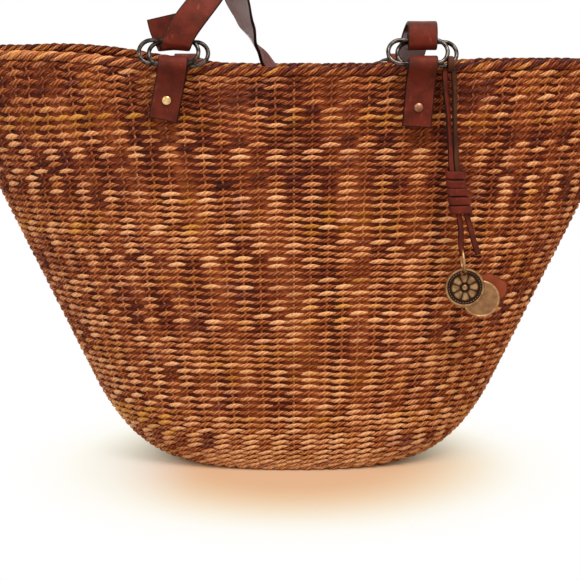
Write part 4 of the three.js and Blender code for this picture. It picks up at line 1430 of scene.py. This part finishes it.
# %% Charm: hitch, lace and wrap
CHARM_SLANT = math.radians(4.9)
HITCH_BORE_R = 2.8 * MM
HITCH_TUBE_R = 1.2 * MM
HITCH_SQUASH = (0.85, 1.7)
LOOP_STEPS = 40
LACE_W = 3.8 * MM
LACE_T = 1.8 * MM
LACE_RIPPLE = 0.12 * MM
WRAP_FROM_TOP = 58.7 * MM
WRAP_TURNS = 5
WRAP_PITCH = 5.75 * MM
WRAP_BAND_H = 5.3 * MM
WRAP_BAND_T = 1.9 * MM
WRAP_CORE_HALF_W = 4.6 * MM
WRAP_TAPER = 1.4 * MM
WRAP_SLACK = 0.6 * MM
WRAP_STARTS_X = -1.9 * MM
WRAP_DRIFT = 2.7 * MM
WRAP_STEPS = 48
charm_matrix = Matrix.Translation(joint_at["charm_swing"]) @ Matrix.Rotation(-CHARM_SLANT, 4, "Y")


def hung(points):
    """Points of the charm's own frame, in place."""
    turned_by = np.array(charm_matrix.to_3x3())
    return np.asarray(points) @ turned_by.T + np.array(charm_matrix.translation)


def hitch():
    """The loop of lace round the ring, a flat strip on edge."""
    centre = joint_at["charm_hang"]
    angle = np.arange(LOOP_STEPS) * 2 * math.pi / LOOP_STEPS
    across = np.stack([0 * angle, np.cos(angle), np.sin(angle)], -1)
    centres = centre + (HITCH_BORE_R + HITCH_TUBE_R) * across
    section = circle(HITCH_TUBE_R, WIRE_SIDES) * np.array(HITCH_SQUASH)
    up = np.broadcast_to([1.0, 0, 0], across.shape)
    points, faces = sweep(centres, across, up, section, True)
    shade = np.zeros(len(points))
    faces = facing_out(points, faces)
    piece("lace_hitch", "charm_hitch", points, faces, lace_leather, edge=shade, under=shade)


LEFT_LACE = [
    ((-3.4, -0.4, 1.5), (1, -0.2, 0)),
    ((-4.0, -0.2, -8), (0.9, 0.45, 0)),
    ((-3.3, 0.3, -28), (0.75, 0.66, 0)),
    ((-3.2, 0.2, -46), (0.9, 0.4, 0)),
    ((-3.4, 0, -57), (1, 0, 0)),
    ((-2.6, 0, -74), (1, 0, 0)),
]
RIGHT_LACE = [
    ((2.0, -0.4, 1.5), (1, 0.2, 0)),
    ((2.0, -0.2, -8), (0.9, 0.45, 0)),
    ((0.9, 0.3, -28), (0.75, 0.66, 0)),
    ((0.4, 0.2, -46), (0.9, 0.4, 0)),
    ((0.2, 0, -57), (1, 0, 0)),
    ((1.4, 0, -74), (1, 0, 0)),
]
LEFT_TAIL = [
    ((-1.6, 0, -78), (1, 0, 0)),
    ((-0.6, 0, -91), (1, 0, 0)),
    ((0.1, -0.3, -102), (0.98, 0.2, 0)),
    ((-0.4, -0.2, -111), (1, 0, 0)),
    ((0, 0, -119.2), (1, 0, 0)),
]
RIGHT_TAIL = [
    ((2.6, 0, -78), (1, 0, 0)),
    ((4.2, 0, -91), (1, 0, -0.1)),
    ((6.0, -0.3, -100), (0.95, 0.1, -0.25)),
    ((8.0, -0.4, -110), (0.95, 0, -0.28)),
    ((10.4, -0.2, -119.2), (0.94, 0, -0.3)),
]


def lace_strip(name, stops, finish):
    """One strip of lace through stops of the charm's own frame, in millimetres."""
    placed = [(hung(np.array(point) * MM), width) for point, width in stops]
    path, across = smooth_path(placed, 8)
    return strap(name, "charm_lace", path, across, LACE_W, LACE_T, finish, LACE_RIPPLE)


def wrap():
    """One flat band wound round both strips, slack and a little wider at the foot."""
    half_t = LACE_T / 2 + BORE_GAP + WRAP_BAND_T / 2
    turn = np.arange(WRAP_TURNS * WRAP_STEPS + 1) * 2 * math.pi / WRAP_STEPS
    share = turn / turn[-1]
    across = np.stack([np.cos(turn), np.sin(turn), 0 * turn], -1)
    straight = WRAP_CORE_HALF_W - GAP - WRAP_TAPER * (1 - share)
    lean = np.clip(np.cos(turn) / 0.2, -1, 1)
    slack = WRAP_SLACK * noise_along(turn / 2.1, 4.4, 1.2)
    height = -GAP - WRAP_FROM_TOP - WRAP_BAND_H / 2 - WRAP_PITCH * turn / (2 * math.pi) + slack
    shift = WRAP_STARTS_X + WRAP_DRIFT * share
    path = np.stack([shift + straight * lean + half_t * across[:, 0], half_t * across[:, 1], height], -1)
    section, edge = strap_section(WRAP_BAND_H, WRAP_BAND_T, 4)[:2]
    section = section[:, ::-1]
    up = np.broadcast_to([0, 0, 1.0], across.shape)
    points, faces = sweep(path, across, up, section, False)
    capped = with_ends(points, faces, len(section))
    values = {"edge": np.tile(edge * 0.5, len(path)), "under": np.zeros(len(points))}
    piece("wound_band", "charm_wrap", hung(points), capped, strap_leather, sharp=60, **values)


hitch()
lace_strip("left_lace", LEFT_LACE, strap_leather)
lace_strip("right_lace", RIGHT_LACE, lace_leather)
lace_strip("left_tail", LEFT_TAIL, strap_leather)
lace_strip("right_tail", RIGHT_TAIL, strap_leather)
wrap()

# %% [markdown]
# The link is a small oval of wire. The front disc gets a raised rim and a plain rosette, pressed into a fan
# of points round its middle, so that the relief is real and its hollows can be darkened. The back disc has a
# raised border only.

# %% Charm: link, discs and tag
LINK_WIRE_R = 0.9 * MM
LINK_HALF_D = 7.5 * MM
LINK_HALF_H = 7.6 * MM
FRONT_DISC_R = 13 * MM
BACK_DISC_R = 12.4 * MM
DISC_T = 1.6 * MM
DISC_EYE_IN = 3.2 * MM
DISC_EYE_R = 2 * MM
DISC_RELIEF = 0.55 * MM
DISC_EDGE_SOFT = 0.5 * MM
DISC_RINGS = 40
DISC_SPREAD = 144
EYE_WALL = 1.4 * MM
BORDER_R = 0.65 * MM
BORDER_IN = 0.9 * MM
BORDER_SUNK = 0.1 * MM
BACK_DISC_EAR = 9 * MM
BACK_DISC_TURN = math.radians(29)
TAG_TURN = math.radians(57)
TAG_W = 15 * MM
TAG_L = 19 * MM
TAG_NECK_W = 5 * MM
TAG_NECK_L = 13 * MM
TAG_T = 1.6 * MM
LAYER = DISC_T + 0.5 * MM
hang_point = joint_at["front_disc_swing"]


def hanger_matrix(layer, turn):
    """The frame of a piece that hangs on the link, with its eye at the origin."""
    place = Matrix.Translation(hang_point + np.array([0, layer, 0]))
    return place @ Matrix.Rotation(-CHARM_SLANT - turn, 4, "Y")


def link():
    """The oval of wire that the discs and the tag hang on."""
    angle = np.arange(LOOP_STEPS) * 2 * math.pi / LOOP_STEPS
    middle = np.array([0, 0, LINK_HALF_H])
    ring_points = middle + np.stack([0 * angle, LINK_HALF_D * np.cos(angle), LINK_HALF_H * np.sin(angle)], -1)
    matrix = np.array(hanger_matrix(0, 0))
    centres = ring_points @ matrix[:3, :3].T + matrix[:3, 3]
    normal = matrix[:3, :3] @ np.array([1.0, 0, 0])
    wire_loop("oval_link", "charm_link", centres, normal, LINK_WIRE_R, pale_brass)


def rosette(r, angle):
    """Height of the front disc's relief, 0 to 1, at a share of its radius and an angle."""
    border = smoothstep(0.86, 0.9, r) * (1 - 0.3 * smoothstep(0.97, 1, r))
    petal = np.abs(np.cos(4 * angle)) ** 0.7 * smoothstep(0.2, 0.34, r) * smoothstep(0.02, 0.16, 0.74 - r)
    boss = smoothstep(0.02, 0.06, 0.17 - r)
    beads = (0.5 + 0.5 * np.cos(36 * angle)) * smoothstep(0.0, 0.03, 0.035 - np.abs(r - 0.8))
    return np.maximum.reduce([border, 0.9 * petal, boss, 0.8 * beads])


def pressed_disc():
    """The front disc: a fan of points with relief on both faces, then an eye cut through it."""
    rings, spread = DISC_RINGS, DISC_SPREAD
    r = np.linspace(0, 1, rings)[1:]
    angle = np.arange(spread) * 2 * math.pi / spread
    rr, aa = np.meshgrid(r, angle, indexing="ij")
    relief = rosette(rr, aa)
    depth = DISC_T / 2 - DISC_RELIEF * (1 - relief)
    depth[-1] = DISC_T / 2 - DISC_EDGE_SOFT
    x = FRONT_DISC_R * rr * np.cos(aa)
    z = FRONT_DISC_R * rr * np.sin(aa) + DISC_EYE_IN - FRONT_DISC_R
    front = np.stack([x, -depth, z], -1).reshape(-1, 3)
    back = np.stack([x, depth, z], -1).reshape(-1, 3)
    middle_z = DISC_EYE_IN - FRONT_DISC_R
    points = np.concatenate([front, back, [[0, -DISC_T / 2, middle_z], [0, DISC_T / 2, middle_z]]])
    count = len(front)
    faces = []
    for face in (0, 1):
        start = face * count
        for j in range(spread):
            k = (j + 1) % spread
            faces.append([2 * count + face, start + j, start + k])
            for i in range(rings - 2):
                a, b = start + i * spread, start + (i + 1) * spread
                faces.append([a + j, b + j, b + k, a + k])
    edge = (rings - 2) * spread
    for j in range(spread):
        here, there = edge + j, edge + (j + 1) % spread
        faces.append([here, there, count + there, count + here])
    hollow = np.concatenate([1 - relief.ravel(), 1 - relief.ravel(), [0, 0]])
    matrix = hanger_matrix(-LAYER, 0)
    spin = np.array(matrix.to_3x3())
    placed = points @ spin.T + np.array(matrix.translation)
    made = piece("rosette_disc", "front_disc", placed, faces, disc_brass, sharp=35, hollow=hollow)
    tidy(made, 35)
    cut_eye(made, matrix)
    return made


def cut_eye(made, matrix):
    """Cuts the eye through a disc with a round cutter, which is then thrown away."""
    work = bmesh.new()
    turn = matrix @ Matrix.Rotation(math.pi / 2, 4, "X")
    ends = {"radius1": DISC_EYE_R, "radius2": DISC_EYE_R, "cap_ends": True}
    bmesh.ops.create_cone(work, segments=24, depth=4 * DISC_T, matrix=turn, **ends)
    cutter_mesh = bpy.data.meshes.new("eye_cutter")
    work.to_mesh(cutter_mesh)
    work.free()
    cutter = bpy.data.objects.new("eye_cutter", cutter_mesh)
    bpy.context.scene.collection.objects.link(cutter)
    cut = made.modifiers.new("eye", "BOOLEAN")
    cut.operation = "DIFFERENCE"
    cut.solver = "EXACT"
    cut.object = cutter
    bpy.context.view_layer.update()
    shaped = bpy.data.meshes.new_from_object(made.evaluated_get(bpy.context.evaluated_depsgraph_get()))
    made.modifiers.clear()
    made.data = shaped
    bpy.data.objects.remove(cutter)


def back_disc():
    """The plain disc on a long ear, with a bead round its border."""
    ear = DISC_EYE_R + EYE_WALL
    spread = math.asin(ear / BACK_DISC_R)
    middle = -BACK_DISC_EAR - BACK_DISC_R
    outline = [(ear * math.cos(a), ear * math.sin(a)) for a in np.linspace(0, math.pi, 14)]
    sweep_angles = np.linspace(math.pi / 2 + spread, 2.5 * math.pi - spread, 60)
    outline += [(BACK_DISC_R * math.cos(a), middle + BACK_DISC_R * math.sin(a)) for a in sweep_angles]
    matrix = hanger_matrix(0, BACK_DISC_TURN)
    holes = [round_hole(DISC_EYE_R)]
    made = plate("eared_disc", "back_disc", outline, holes, DISC_T, METAL_SOFT, pale_brass, matrix)
    values = np.full(len(made.data.vertices), 0.5, np.float32)
    made.data.attributes.new("hollow", "FLOAT", "POINT").data.foreach_set("value", values)
    bead = circle(BORDER_R, 10, 0.5) + np.array([BACK_DISC_R - BORDER_IN, DISC_T / 2 - BORDER_SUNK])
    face = matrix.to_3x3() @ Vector((0, -1, 0))
    centre = matrix @ Vector((0, 0, middle))
    turned("disc_border", "back_disc", bead, np.array(centre), np.array(face), pale_brass)


def leather_tag():
    """The small leather piece behind the discs, on a narrow neck."""
    bottom = -TAG_NECK_L - TAG_L
    top = TAG_NECK_W / 2 + 0.7 * MM
    outline = [(top * math.cos(a), top * math.sin(a)) for a in np.linspace(0, math.pi, 12)]
    left = [
        (-TAG_NECK_W / 2, -TAG_NECK_L * 0.7),
        (-TAG_W * 0.36, -TAG_NECK_L - 0.6 * MM),
        (-TAG_W / 2, -TAG_NECK_L - 3.4 * MM),
        (-TAG_W / 2, bottom + 5 * MM),
        (-TAG_W * 0.42, bottom + 2.4 * MM),
        (-TAG_W * 0.2, bottom + 0.5 * MM),
    ]
    outline += left + [(0, bottom)] + [(-x, z) for x, z in reversed(left)]
    matrix = hanger_matrix(LAYER, TAG_TURN)
    holes = [round_hole(DISC_EYE_R)]
    plate("charm_tag", "leather_tag", outline, holes, TAG_T, LEATHER_SOFT, tag_leather, matrix)


link()
pressed_disc()
back_disc()
leather_tag()
print("charm hangs at", [round(v / MM, 1) for v in hang_point])
